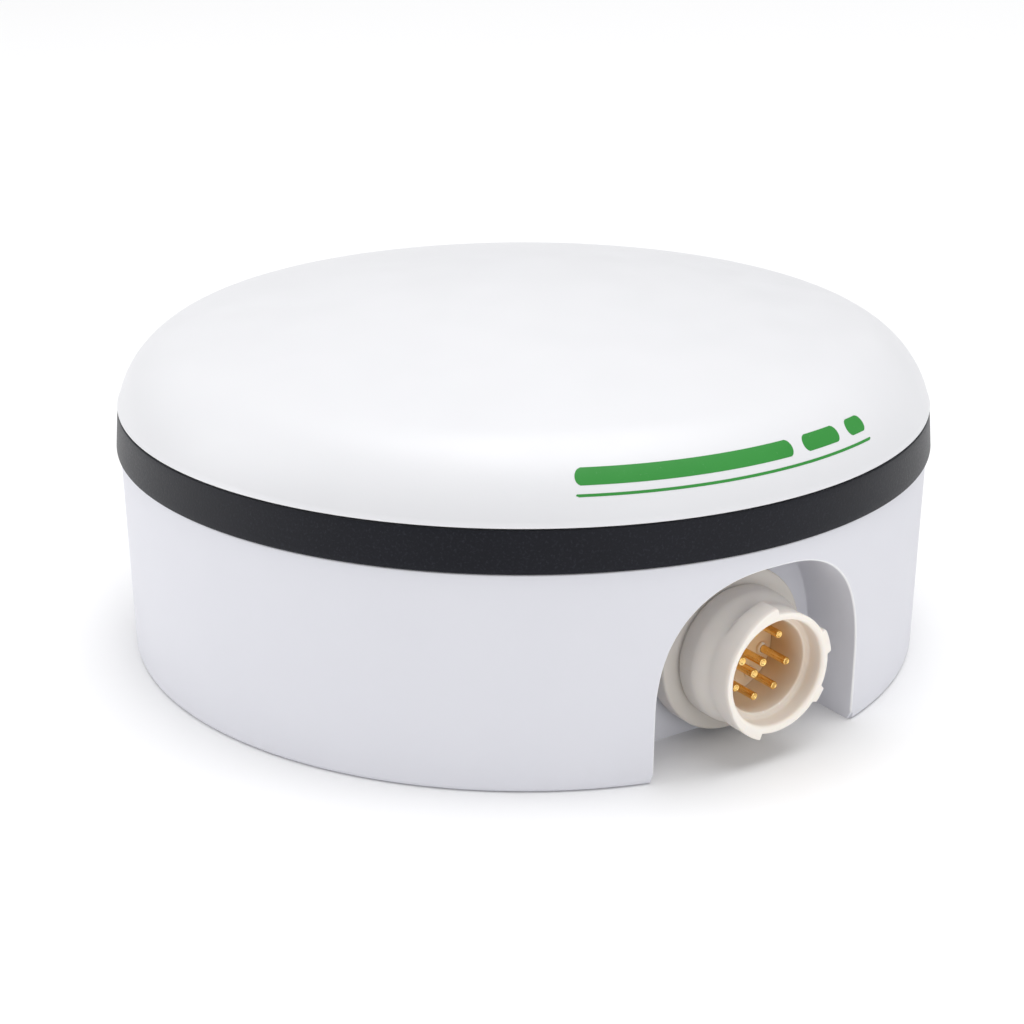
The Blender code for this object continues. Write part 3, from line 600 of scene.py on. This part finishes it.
def make_radome(material):
    """The cover: a fine dome, a softened rim and the spigot that goes inside the band."""
    rim = BAND_TOP + GAP
    soft = RIM_SOFTENING
    outside = [point for point in dome_profile(0, 26, 26) if point[1] > rim + soft]
    outside += arc((DOME_RADIUS - soft, rim + soft), soft, 0, -90, 4)
    outside += [(SPIGOT_RADIUS, rim), (SPIGOT_RADIUS, SPIGOT_BOTTOM)]
    spigot_inner = SPIGOT_RADIUS - SPIGOT_WALL
    inside = [point for point in dome_profile(DOME_WALL, 12, 12) if point[0] < spigot_inner]
    outside += [(spigot_inner, SPIGOT_BOTTOM), (spigot_inner, inside[-1][1] - 1.2)]
    cover = turned("radome_cover", outside + inside[::-1])
    return put_on(cover, material, "white_plastic", "radome")


def make_band(material):
    """The trim band, tapered a little and with softened edges."""
    soft = RIM_SOFTENING
    top, bottom = BAND_TOP, BAND_BOTTOM
    profile = [(BAND_INNER_RADIUS, bottom)]
    profile += arc((BAND_RADIUS - soft, bottom + soft), soft, -90, 4, 4)
    steps = 6
    for step in range(1, steps):
        share = step / steps
        profile.append((BAND_RADIUS + (DOME_RADIUS - BAND_RADIUS) * share,
                        bottom + soft + (top - bottom - 2 * soft) * share))
    profile += arc((DOME_RADIUS - soft, top - soft), soft, 4, 90, 4)
    profile.append((BAND_INNER_RADIUS, top))
    return put_on(turned("trim_ring", profile), material, "dark_plastic", "trim_band")


def base_radius(height):
    """The base wall's outer radius at a height."""
    if height < BASE_FOOT_ROUNDING:
        drop = BASE_FOOT_ROUNDING - max(height, 0.0)
        out = math.sqrt(BASE_FOOT_ROUNDING ** 2 - drop ** 2)
        return BASE_FOOT_RADIUS - BASE_FOOT_ROUNDING + out
    share = (height - BASE_FOOT_ROUNDING) / (BAND_BOTTOM - GAP - BASE_FOOT_ROUNDING)
    return BASE_FOOT_RADIUS + (BASE_TOP_RADIUS - BASE_FOOT_RADIUS) * min(share, 1.0)


def base_profile():
    top = BAND_BOTTOM - GAP
    soft = BASE_TOP_SOFTENING
    profile = [(0, 0)]
    profile += arc((BASE_FOOT_RADIUS - BASE_FOOT_ROUNDING, BASE_FOOT_ROUNDING), BASE_FOOT_ROUNDING,
                   -90, 0, 7)
    rows = 18
    for row in range(1, rows):
        height = BASE_FOOT_ROUNDING + (top - soft - BASE_FOOT_ROUNDING) * row / rows
        profile.append((base_radius(height), height))
    profile += arc((BASE_TOP_RADIUS - soft, top - soft), soft, 0, 90, 3)
    profile += [
        (LIP_RADIUS, top), (LIP_RADIUS, BASE_HIGH.z), (BASE_WALL_INNER, BASE_HIGH.z),
        (BASE_WALL_INNER, LEDGE_TOP), (LEDGE_RADIUS, LEDGE_TOP), (LEDGE_RADIUS, LEDGE_TOP - 2),
        (BASE_WALL_INNER, LEDGE_TOP - 5), (BASE_WALL_INNER, BASE_FLOOR), (0, BASE_FLOOR),
    ]
    return profile


def bay_outline(bottom, spread=0.0, roof=0.0, steps=110):
    """The bay's arch as (x, z, outward x, outward z), with its upright sides down to bottom."""
    half = BAY_HALF_WIDTH + spread
    rise = BAY_TOP + roof - BAY_SPRING
    sides = 9
    points = []
    for step in range(sides):
        points.append((half, bottom + (BAY_SPRING - bottom) * step / sides, 1.0, 0.0))
    for step in range(steps + 1):
        angle = math.pi * step / steps
        cosine, sine = math.cos(angle), math.sin(angle)
        if step in (0, steps):
            side = math.copysign(1.0, cosine)
            points.append((side * half, BAY_SPRING, side, 0.0))
            continue
        x = math.copysign(half * abs(cosine) ** (2 / BAY_POWER), cosine)
        z = rise * sine ** (2 / BAY_POWER)
        slope_x = math.copysign((abs(x) / half) ** (BAY_POWER - 1) / half, cosine)
        slope_z = (z / rise) ** (BAY_POWER - 1) / rise
        size = math.hypot(slope_x, slope_z)
        points.append((x, BAY_SPRING + z, slope_x / size, slope_z / size))
    for step in range(sides - 1, -1, -1):
        points.append((-half, bottom + (BAY_SPRING - bottom) * step / sides, -1.0, 0.0))
    return points


def bay_tool():
    """The bay's space: soft inner corners, and a mouth that flares to a rounded edge."""
    below = -6.0
    outline = bay_outline(below)
    corner, mouth = BAY_CORNER_ROUNDING, BAY_MOUTH_ROUNDING
    stations = []
    for turn in (0, 22, 45, 68, 90):
        angle = math.radians(turn)
        stations.append(("back", corner * (1 - math.sin(angle)), corner * (1 - math.cos(angle))))
    for turn in (0, 20, 40, 60, 78, 90):
        angle = math.radians(turn)
        stations.append(("wall", mouth * (1 - math.cos(angle)), mouth * (math.sin(angle) - 1)))
    stations.append(("wall", mouth + 0.4, 12.0))
    bm = bmesh.new()
    rings = []
    for kind, spread, along in stations:
        ring = []
        for x, z, out_x, out_z in outline:
            sign = -1 if kind == "back" else 1
            px = x + sign * out_x * spread
            pz = z + sign * out_z * spread
            if kind == "back":
                reach = BAY_BACK + along
            else:
                reach = math.sqrt(base_radius(pz) ** 2 - px ** 2) + along
            ring.append(bm.verts.new((px * MM, -reach * MM, pz * MM)))
        rings.append(ring)
    bm.faces.new(rings[0])
    bm.faces.new(rings[-1])
    count = len(outline)
    for here, after in zip(rings, rings[1:]):
        for step in range(count):
            other = (step + 1) % count
            bm.faces.new((here[step], here[other], after[other], after[step]))
    return finish_mesh("bay_tool", bm)


def bay_lining():
    """The bay's walls inside the base."""
    bm = bmesh.new()
    outline = bay_outline(BASE_FLOOR / 2, 2.5, 1.5, 40)
    near, far = BAY_BACK - 2.5, BASE_TOP_RADIUS + 5
    low = [bm.verts.new((x * MM, -near * MM, z * MM)) for x, z, _, _ in outline]
    high = [bm.verts.new((x * MM, -far * MM, z * MM)) for x, z, _, _ in outline]
    bm.faces.new(low)
    bm.faces.new(high)
    for step in range(len(outline)):
        other = (step + 1) % len(outline)
        bm.faces.new((low[step], low[other], high[other], high[step]))
    lining = finish_mesh("bay_lining", bm)
    within_wall = (BASE_WALL_INNER + BASE_FOOT_RADIUS) / 2
    limit = turned("bay_limit", cylinder_profile(within_wall, 0, TOTAL_HEIGHT))
    return combine(lining, limit, "INTERSECT")


def smooth_wall(mesh):
    """Points the normals of the turned wall straight out, whatever its triangles look like."""
    close = 0.02
    top = BAND_BOTTOM - GAP
    slope = (BASE_TOP_RADIUS - BASE_FOOT_RADIUS) / (top - BASE_FOOT_ROUNDING)
    normals = [Vector(corner.vector) for corner in mesh.corner_normals]
    for face in mesh.polygons:
        spots = [mesh.vertices[vertex].co / MM for vertex in face.vertices]
        if not all(BASE_FOOT_ROUNDING - close < spot.z < top - 0.1 for spot in spots):
            continue
        if any(abs(spot.xy.length - base_radius(spot.z)) > close for spot in spots):
            continue
        for corner, spot in zip(face.loop_indices, spots):
            normals[corner] = Vector((spot.x, spot.y, -slope * spot.xy.length)).normalized()
    mesh.normals_split_custom_set(normals)


def make_base(material):
    """The base: its wall, the bay with its rounded mouth, and the recesses in the underside."""
    base = turned("base_body", base_profile())
    combine(base, bay_lining(), "UNION")
    root = BASE_FLOOR / 2
    magnets, screws = middles("magnet", 3), middles("case_screw", 6)
    inserts, spacers = middles("mount_insert", 4), middles("board_spacer", 4)
    pocket_top = levels("magnet_1")[1]
    column = [
        (0, root), (BOSS_RADIUS, root), (BOSS_RADIUS, BOSS_TOP), (SCREW_POST_RADIUS, BOSS_TOP + 2),
        (SCREW_POST_RADIUS, SCREW_POST_TOP), (0, SCREW_POST_TOP),
    ]
    for profile, sides, places in (
        (cylinder_profile(MAGNET_BOSS_RADIUS, root, pocket_top + MAGNET_BOSS_ROOF), 64, magnets),
        (column, SMALL, screws),
        (cylinder_profile(BOSS_RADIUS, root, INSERT_BOSS_TOP), SMALL, inserts),
        (cylinder_profile(SPACER_POST_RADIUS, root, SPACER_POST_TOP), SMALL, spacers),
    ):
        combine(base, turned("tool", profile, sides, places), "UNION")
    combine(base, bay_tool(), "DIFFERENCE")
    beyond = SCREW_POST_TOP + 1.5
    well = recess(SCREW_WELL_RADIUS, SCREW_WELL_TOP)
    well += [(SCREW_HOLE_RADIUS, SCREW_WELL_TOP), (SCREW_HOLE_RADIUS, beyond), (0, beyond)]
    pocket = recess(MAGNET_POCKET_RADIUS, pocket_top + GAP) + [(0, pocket_top + GAP)]
    seat = recess(SCREW_WELL_RADIUS, INSERT_SEAT_TOP) + [(0, INSERT_SEAT_TOP)]
    spacer_hole = cylinder_profile(SPACER_HOLE_RADIUS, SPACER_HOLE_BOTTOM, SPACER_POST_TOP + 1.3)
    vent = recess(VENT_SEAT_RADIUS, VENT_SEAT_TOP)
    vent += [(VENT_HOLE_RADIUS, VENT_SEAT_TOP), (VENT_HOLE_RADIUS, BASE_FLOOR + 1),
             (0, BASE_FLOOR + 1)]
    for profile, sides, places in (
        (well, SMALL, screws),
        (pocket, DISC_SIDES, magnets),
        (seat, SMALL, inserts),
        (spacer_hole, 24, spacers),
        (vent, 64, [middle("vent_plug")]),
    ):
        combine(base, turned("tool", profile, sides, places), "DIFFERENCE")
    tube_hole = cylinder_profile(TUBE_HOLE_RADIUS, TUBE_HOLE_BACK, TUBE_HOLE_FRONT)
    combine(base, facing_out(turned("tool", tube_hole, 64)), "DIFFERENCE")
    smooth_wall(base.data)
    return put_on(base, material, "base_plastic", "base_housing")


def ink_strip(name, start, end, low, high, material):
    """A thin layer of ink on the dome's side, between two angles and two heights."""
    profile = [point for point in dome_profile(-INK_LIFT, 60, 80) if low <= point[1] <= high]
    bm = bmesh.new()
    steps = 120
    centre = (low + high) / 2
    half = (high - low) / 2
    skins = []
    for lift in (0.0, -INK_DEPTH):
        rows = []
        for radius, height in profile:
            bow = 1 - math.sqrt(max(0.0, 1 - ((height - centre) / half) ** 2))
            inset = INK_ROUNDING * bow
            slack = math.degrees(inset / radius)
            row = []
            for step in range(steps + 1):
                angle = math.radians(start + slack + (end - start - 2 * slack) * step / steps)
                reach = radius + lift
                spot = (reach * math.cos(angle), reach * math.sin(angle), height + lift)
                row.append(bm.verts.new(Vector(spot) * MM))
            rows.append(row)
        skins.append(rows)
    outer, inner = skins
    for rows in skins:
        for here, after in zip(rows, rows[1:]):
            for step in range(steps):
                bm.faces.new((here[step], here[step + 1], after[step + 1], after[step]))
    for row in (0, -1):
        for step in range(steps):
            bm.faces.new((outer[row][step], outer[row][step + 1],
                          inner[row][step + 1], inner[row][step]))
    for column in (0, -1):
        for upper, lower, upper_in, lower_in in zip(outer, outer[1:], inner, inner[1:]):
            bm.faces.new((upper[column], lower[column], lower_in[column], upper_in[column]))
    return put_on(finish_mesh(name, bm), material, "white_plastic")


# ---- Receptacle ------------------------------------------------------------------------------

def rise(value, low, high):
    """0 below low and 1 above high, with a smooth step between."""
    share = min(1.0, max(0.0, (value - low) / (high - low)))
    return share * share * (3 - 2 * share)


def lug_height(angle):
    """How far the rim's outside stands out at an angle: long ramps that end in a step at the
    top and at the bottom left, and two short lugs on the right."""
    degrees = math.degrees(angle) % 360
    height = 0.0
    for first, last, at_first, at_last, soft_first, soft_last in LUGS:
        inside = rise(degrees, first - soft_first, first + soft_first / 2)
        inside *= 1 - rise(degrees, last - soft_last / 2, last + soft_last)
        share = min(1.0, max(0.0, (degrees - first) / (last - first)))
        height = max(height, inside * (at_first + (at_last - at_first) * share))
    return height


def shell_shape(angle, radius, height):
    """Raises the bayonet lugs on the barrel's outside."""
    back = RIM_FRONT - LUG_LENGTH
    if radius < BARREL_RADIUS - 0.7 or height < back - 0.6:
        return radius, height
    along = rise(height, back - 0.4, back + 0.3)
    outer = rise(radius, BARREL_RADIUS - 0.65, BARREL_RADIUS - 0.2)
    return radius + lug_height(angle) * along * outer, height


def line(start, end, steps):
    """Points from a start up to, but not including, an end."""
    points = []
    for step in range(steps):
        share = step / steps
        points.append((start[0] + (end[0] - start[0]) * share,
                       start[1] + (end[1] - start[1]) * share))
    return points


def shell_profile():
    soft = 0.45
    lip = 0.3
    profile = [(TUBE_RADIUS, SHELL_REAR), (SHELL_REAR_RADIUS, SHELL_REAR),
               (SHELL_REAR_RADIUS, FLANGE_BACK)]
    profile += arc((FLANGE_RADIUS - 0.3, FLANGE_BACK + 0.3), 0.3, -90, 0, 3)
    profile += arc((FLANGE_RADIUS - soft, FLANGE_FRONT - soft), soft, 0, 90, 5)
    profile += [(GROOVE_RADIUS, FLANGE_FRONT), (GROOVE_RADIUS, COLLAR_BACK)]
    profile += arc((COLLAR_RADIUS - soft, COLLAR_BACK + soft), soft, -90, 0, 5)
    steps = 14
    for step in range(steps + 1):
        share = step / steps
        drop = (COLLAR_RADIUS - BARREL_RADIUS) * rise(share, 0, 1)
        profile.append((COLLAR_RADIUS - drop, COLLAR_FRONT + (BARREL_BACK - COLLAR_FRONT) * share))
    profile += line((BARREL_RADIUS, BARREL_BACK + 0.2), (BARREL_RADIUS, RIM_FRONT - lip), 24)
    profile += arc((BARREL_RADIUS - lip, RIM_FRONT - lip), lip, 0, 90, 6)
    profile += arc((CUP_RADIUS + CUP_LIP, RIM_FRONT - CUP_LIP), CUP_LIP, 90, 180, 10)
    profile += line((CUP_RADIUS, RIM_FRONT - CUP_LIP - 0.4), (CUP_RADIUS, CUP_LEDGE + 0.4), 4)
    profile += arc((CUP_RADIUS - 0.4, CUP_LEDGE + 0.4), 0.4, 0, -90, 4)
    profile += arc((TUBE_RADIUS + 0.35, CUP_LEDGE - 0.35), 0.35, 90, 180, 5)
    profile += line((TUBE_RADIUS, CUP_LEDGE - 1), (TUBE_RADIUS, SHELL_REAR), 6)[:-1]
    return profile


def make_shell(material):
    shell = facing_out(turned("receptacle_body", shell_profile(), PLUG_SIDES, shape=shell_shape))
    return put_on(shell, material, "ivory_nylon", "connector_shell")


def pin_spots(places):
    return [around(distance, [angle])[0] for distance, angle in places]


def make_insert(material):
    """The cup's floor: a disc with a low rounded collar and a hole round each contact."""
    radius = TUBE_RADIUS - 0.05
    rear, front = -INSERT_HIGH.y, -INSERT_LOW.y
    profile = [(0, rear), (radius, rear)]
    profile += arc((radius - 0.4, front - 0.4), 0.4, 0, 90, 4)
    profile += [(0, front)]
    insert = turned("receptacle_insert", profile, DISC_SIDES)
    for pin_radius, places in PIN_SETS:
        spots = pin_spots(places)
        wide = pin_radius + 0.4
        collar = [(0, front - 1), (wide, front - 1), (wide, front + 0.5), (wide - 0.2, front + 0.7),
                  (0, front + 0.7)]
        combine(insert, turned("tool", collar, PIN_SIDES, spots), "UNION")
        hole = cylinder_profile(pin_radius + 0.06, rear - 1, front + 2)
        combine(insert, turned("tool", hole, PIN_SIDES, spots), "DIFFERENCE")
    return put_on(facing_out(insert), material, "ivory_nylon", "connector_insert")


def make_pins(material):
    """Turned contacts with blunt, slightly dished tips."""
    number = 1
    for radius, places in PIN_SETS:
        for x, y in pin_spots(places):
            low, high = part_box(f"contact_pin_{number:02d}")
            rear, tip = -high.y / MM, -low.y / MM
            profile = [(0, rear), (radius, rear), (radius, tip - 2.2), (radius, tip - 0.22)]
            profile += arc((radius - 0.22, tip - 0.22), 0.22, 10, 90, 5)
            profile += [(radius * 0.5, tip - 0.05), (radius * 0.4, tip - 0.12), (0, tip - 0.14)]
            pin = facing_out(turned(f"contact_{number:02d}", profile, PIN_SIDES))
            pin.location.x = x * MM
            pin.location.z += y * MM
            put_on(pin, material, "gold_plate", f"contact_pin_{number:02d}")
            number += 1


# ---- Underside fixings -----------------------------------------------------------------------

def make_case_screws(material):
    """Pan heads with a six-lobed drive recess, deep in their wells."""
    bottom, top = levels("case_screw_1")
    head_top = bottom + 2.4
    points = 72
    for number, (x, y) in enumerate(middles("case_screw", 6), 1):
        profile = [(0, bottom)]
        profile += arc((2.4, bottom + 0.5), 0.5, -90, 0, 4)
        profile += [(2.9, head_top), (1.5, head_top), (1.5, top - 0.8), (0.9, top), (0, top)]
        screw = turned(f"screw_{number}", profile, 48, [(x, y)])
        bm = bmesh.new()
        spots = []
        for point in range(points):
            angle = math.tau * point / points
            reach = 0.95 + 0.22 * math.cos(6 * angle)
            spots.append((x + reach * math.cos(angle), y + reach * math.sin(angle)))
        floor = [bm.verts.new((px * MM, py * MM, (bottom + 1.3) * MM)) for px, py in spots]
        mouth = [bm.verts.new((px * MM, py * MM, (bottom - 1) * MM)) for px, py in spots]
        bm.faces.new(floor)
        bm.faces.new(mouth)
        for point in range(points):
            other = (point + 1) % points
            bm.faces.new((floor[point], floor[other], mouth[other], mouth[point]))
        combine(screw, finish_mesh("tool", bm), "DIFFERENCE")
        put_on(screw, material, "steel", f"case_screw_{number}")


def make_magnets(material):
    for number, (x, y) in enumerate(middles("magnet", 3), 1):
        bottom, top = levels(f"magnet_{number}")
        profile = [(0, bottom), (3.0, bottom), (3.3, bottom + 0.25), (3.6, bottom)]
        profile += arc((MAGNET_RADIUS - 0.6, bottom + 0.6), 0.6, -90, 0, 5)
        profile += [(MAGNET_RADIUS, top), (0, top)]
        disc = turned(f"magnet_disc_{number}", profile, DISC_SIDES, [(x, y)])
        put_on(disc, material, "magnet_nickel", f"magnet_{number}")


def make_thread_inserts(material):
    """Brass inserts with a coned mouth and threads inside."""
    for number, (x, y) in enumerate(middles("mount_insert", 4), 1):
        bottom, top = levels(f"mount_insert_{number}")
        profile = [(3.0, top), (3.0, bottom + 0.2), (2.8, bottom), (2.4, bottom),
                   (2.0, bottom + 0.4)]
        pitch = 0.7
        turns = int((top - bottom - 1.0) / pitch)
        for turn in range(turns):
            start = bottom + 0.5 + pitch * turn
            profile += [(2.0, start + 0.1), (2.28, start + pitch / 2)]
        profile += [(2.0, top)]
        put_on(turned(f"thread_insert_{number}", profile, 48, [(x, y)]), material, "brass",
               f"mount_insert_{number}")


def make_vent(material):
    """A breather plug with a dished head and a ring groove."""
    bottom, top = levels("vent_plug")
    profile = [(0, bottom + 0.35), (2.4, bottom + 0.3), (2.9, bottom), (4.2, bottom),
               (4.4, bottom + 0.3), (4.8, bottom + 0.3), (5.0, bottom)]
    profile += arc((5.6, bottom + 0.4), 0.4, -90, 0, 4)
    profile += [(6.0, bottom + 1.0), (3.0, bottom + 1.0), (3.0, top - 0.3), (2.7, top), (0, top)]
    disc = turned("vent_disc", profile, 72, [middle("vent_plug")])
    put_on(disc, material, "black_rubber", "vent_plug")


# ---- Inside pieces, which keep their CAD shapes ----------------------------------------------

def dress_inside(materials):
    """Gives every CAD node that still shows the material of its record slot."""
    slots = {row["node"]: row["material_slot"] for row in frame["record"]["subparts"]}
    for name, node in frame["nodes"].items():
        if node.hide_render:
            continue
        node.data.materials.clear()
        node.data.materials.append(materials[slots[name]])


# ---- Studio ----------------------------------------------------------------------------------

def make_camera():
    pitch, yaw, roll = CAMERA_PITCH, CAMERA_YAW, CAMERA_ROLL
    turn = Matrix.Rotation(CAMERA_AZIMUTH, 3, "Z")
    back = CAMERA_DISTANCE * math.cos(CAMERA_ELEVATION)
    above = CAMERA_DISTANCE * math.sin(CAMERA_ELEVATION)
    place = turn @ Vector((0, -back, CAMERA_AIM_HEIGHT + above))
    forward = turn @ Vector((math.sin(yaw) * math.cos(pitch), math.cos(yaw) * math.cos(pitch),
                             -math.sin(pitch)))
    level = turn @ Vector((math.cos(yaw), -math.sin(yaw), 0))
    upright = level.cross(forward)
    right = math.cos(roll) * level + math.sin(roll) * upright
    up = -math.sin(roll) * level + math.cos(roll) * upright
    data = bpy.data.cameras.new("camera")
    data.sensor_width = CAMERA_SENSOR
    data.lens = CAMERA_LENS
    data.clip_start = 0.01
    data.clip_end = 20
    camera = bpy.data.objects.new("camera", data)
    camera.matrix_world = Matrix((
        (right.x, up.x, -forward.x, place.x * MM),
        (right.y, up.y, -forward.y, place.y * MM),
        (right.z, up.z, -forward.z, place.z * MM),
        (0, 0, 0, 1),
    ))
    bpy.context.scene.collection.objects.link(camera)
    bpy.context.scene.camera = camera


def soft_light(name, place, size, power):
    data = bpy.data.lights.new(name, "AREA")
    data.shape = "RECTANGLE"
    data.size, data.size_y = size
    data.energy = power
    light = bpy.data.objects.new(name, data)
    light.location = place
    light.rotation_euler = (Vector(LIGHT_AIM) - place).to_track_quat("-Z", "Y").to_euler()
    bpy.context.scene.collection.objects.link(light)


def make_studio():
    """A pale sweep, an even white surround and soft boxes above and to the sides."""
    bm = bmesh.new()
    half = FLOOR_HALF
    corners = [(-half, -half), (half, -half), (half, half), (-half, half)]
    bm.faces.new([bm.verts.new((x, y, 0)) for x, y in corners])
    floor = finish_mesh("floor", bm)
    floor.data.materials.append(studio_floor())
    world = bpy.data.worlds.new("surround")
    world.use_nodes = True
    background = world.node_tree.nodes["Background"]
    background.inputs["Color"].default_value = (1.0, 1.0, 1.0, 1.0)
    background.inputs["Strength"].default_value = SURROUND_STRENGTH
    bpy.context.scene.world = world
    turn = Matrix.Rotation(CAMERA_AZIMUTH, 3, "Z")
    for name, place, size, power in SOFT_BOXES:
        soft_light(name, turn @ Vector(place), size, power)
    bpy.context.scene.view_settings.view_transform = "Standard"


# ---- The whole object ------------------------------------------------------------------------

def main():
    nylon_shell = nylon("shell_nylon", (0.86, 0.81, 0.75), (0.80, 0.56, 0.32), 0.4)
    nylon_insert = nylon("insert_nylon", (0.80, 0.61, 0.40), (0.86, 0.64, 0.40), 0.5)
    gold = plated("contact_gold", (0.90, 0.56, 0.16), (0.98, 0.70, 0.28), 0.16, 0.30,
                  (1, 1, 0.2), 0.3)
    steel = plated("screw_steel", (0.50, 0.50, 0.50), (0.62, 0.62, 0.61), 0.28, 0.42)
    brass = plated("insert_brass", (0.62, 0.43, 0.17), (0.72, 0.53, 0.26), 0.24, 0.38)
    nickel = plated("magnet_nickel", (0.54, 0.53, 0.51), (0.64, 0.63, 0.61), 0.2, 0.32, size=1.0)
    aluminium = plated("plate_aluminium", (0.66, 0.67, 0.68), (0.76, 0.77, 0.78), 0.3, 0.44,
                       (1, 8, 1))
    black_rubber = rubber("seal_rubber", (0.012, 0.012, 0.012), (0.024, 0.024, 0.024))
    sleeve = rubber("lead_sleeve", (0.022, 0.022, 0.024), (0.038, 0.038, 0.040))
    chip = rubber("chip_epoxy", (0.014, 0.014, 0.015), (0.028, 0.028, 0.030))
    cover = white_cover()

    make_radome(cover)
    green = ink()
    for name, start, end, low, high in PRINTED_STRIPS:
        ink_strip(name, start, end, low, high, green)
    make_band(charcoal())
    make_base(white_base())
    make_shell(nylon_shell)
    make_insert(nylon_insert)
    make_pins(gold)
    make_case_screws(steel)
    make_magnets(nickel)
    make_thread_inserts(brass)
    make_vent(black_rubber)
    dress_inside({
        "white_plastic": cover, "ivory_nylon": nylon_shell, "black_rubber": black_rubber,
        "gold_plate": gold, "brass": brass, "steel": steel, "aluminium": aluminium,
        "magnet_nickel": nickel, "circuit_board": circuit(), "patch_ceramic": ceramic(),
        "chip_black": chip, "wire_sleeve": sleeve,
    })
    make_studio()
    make_camera()


main()
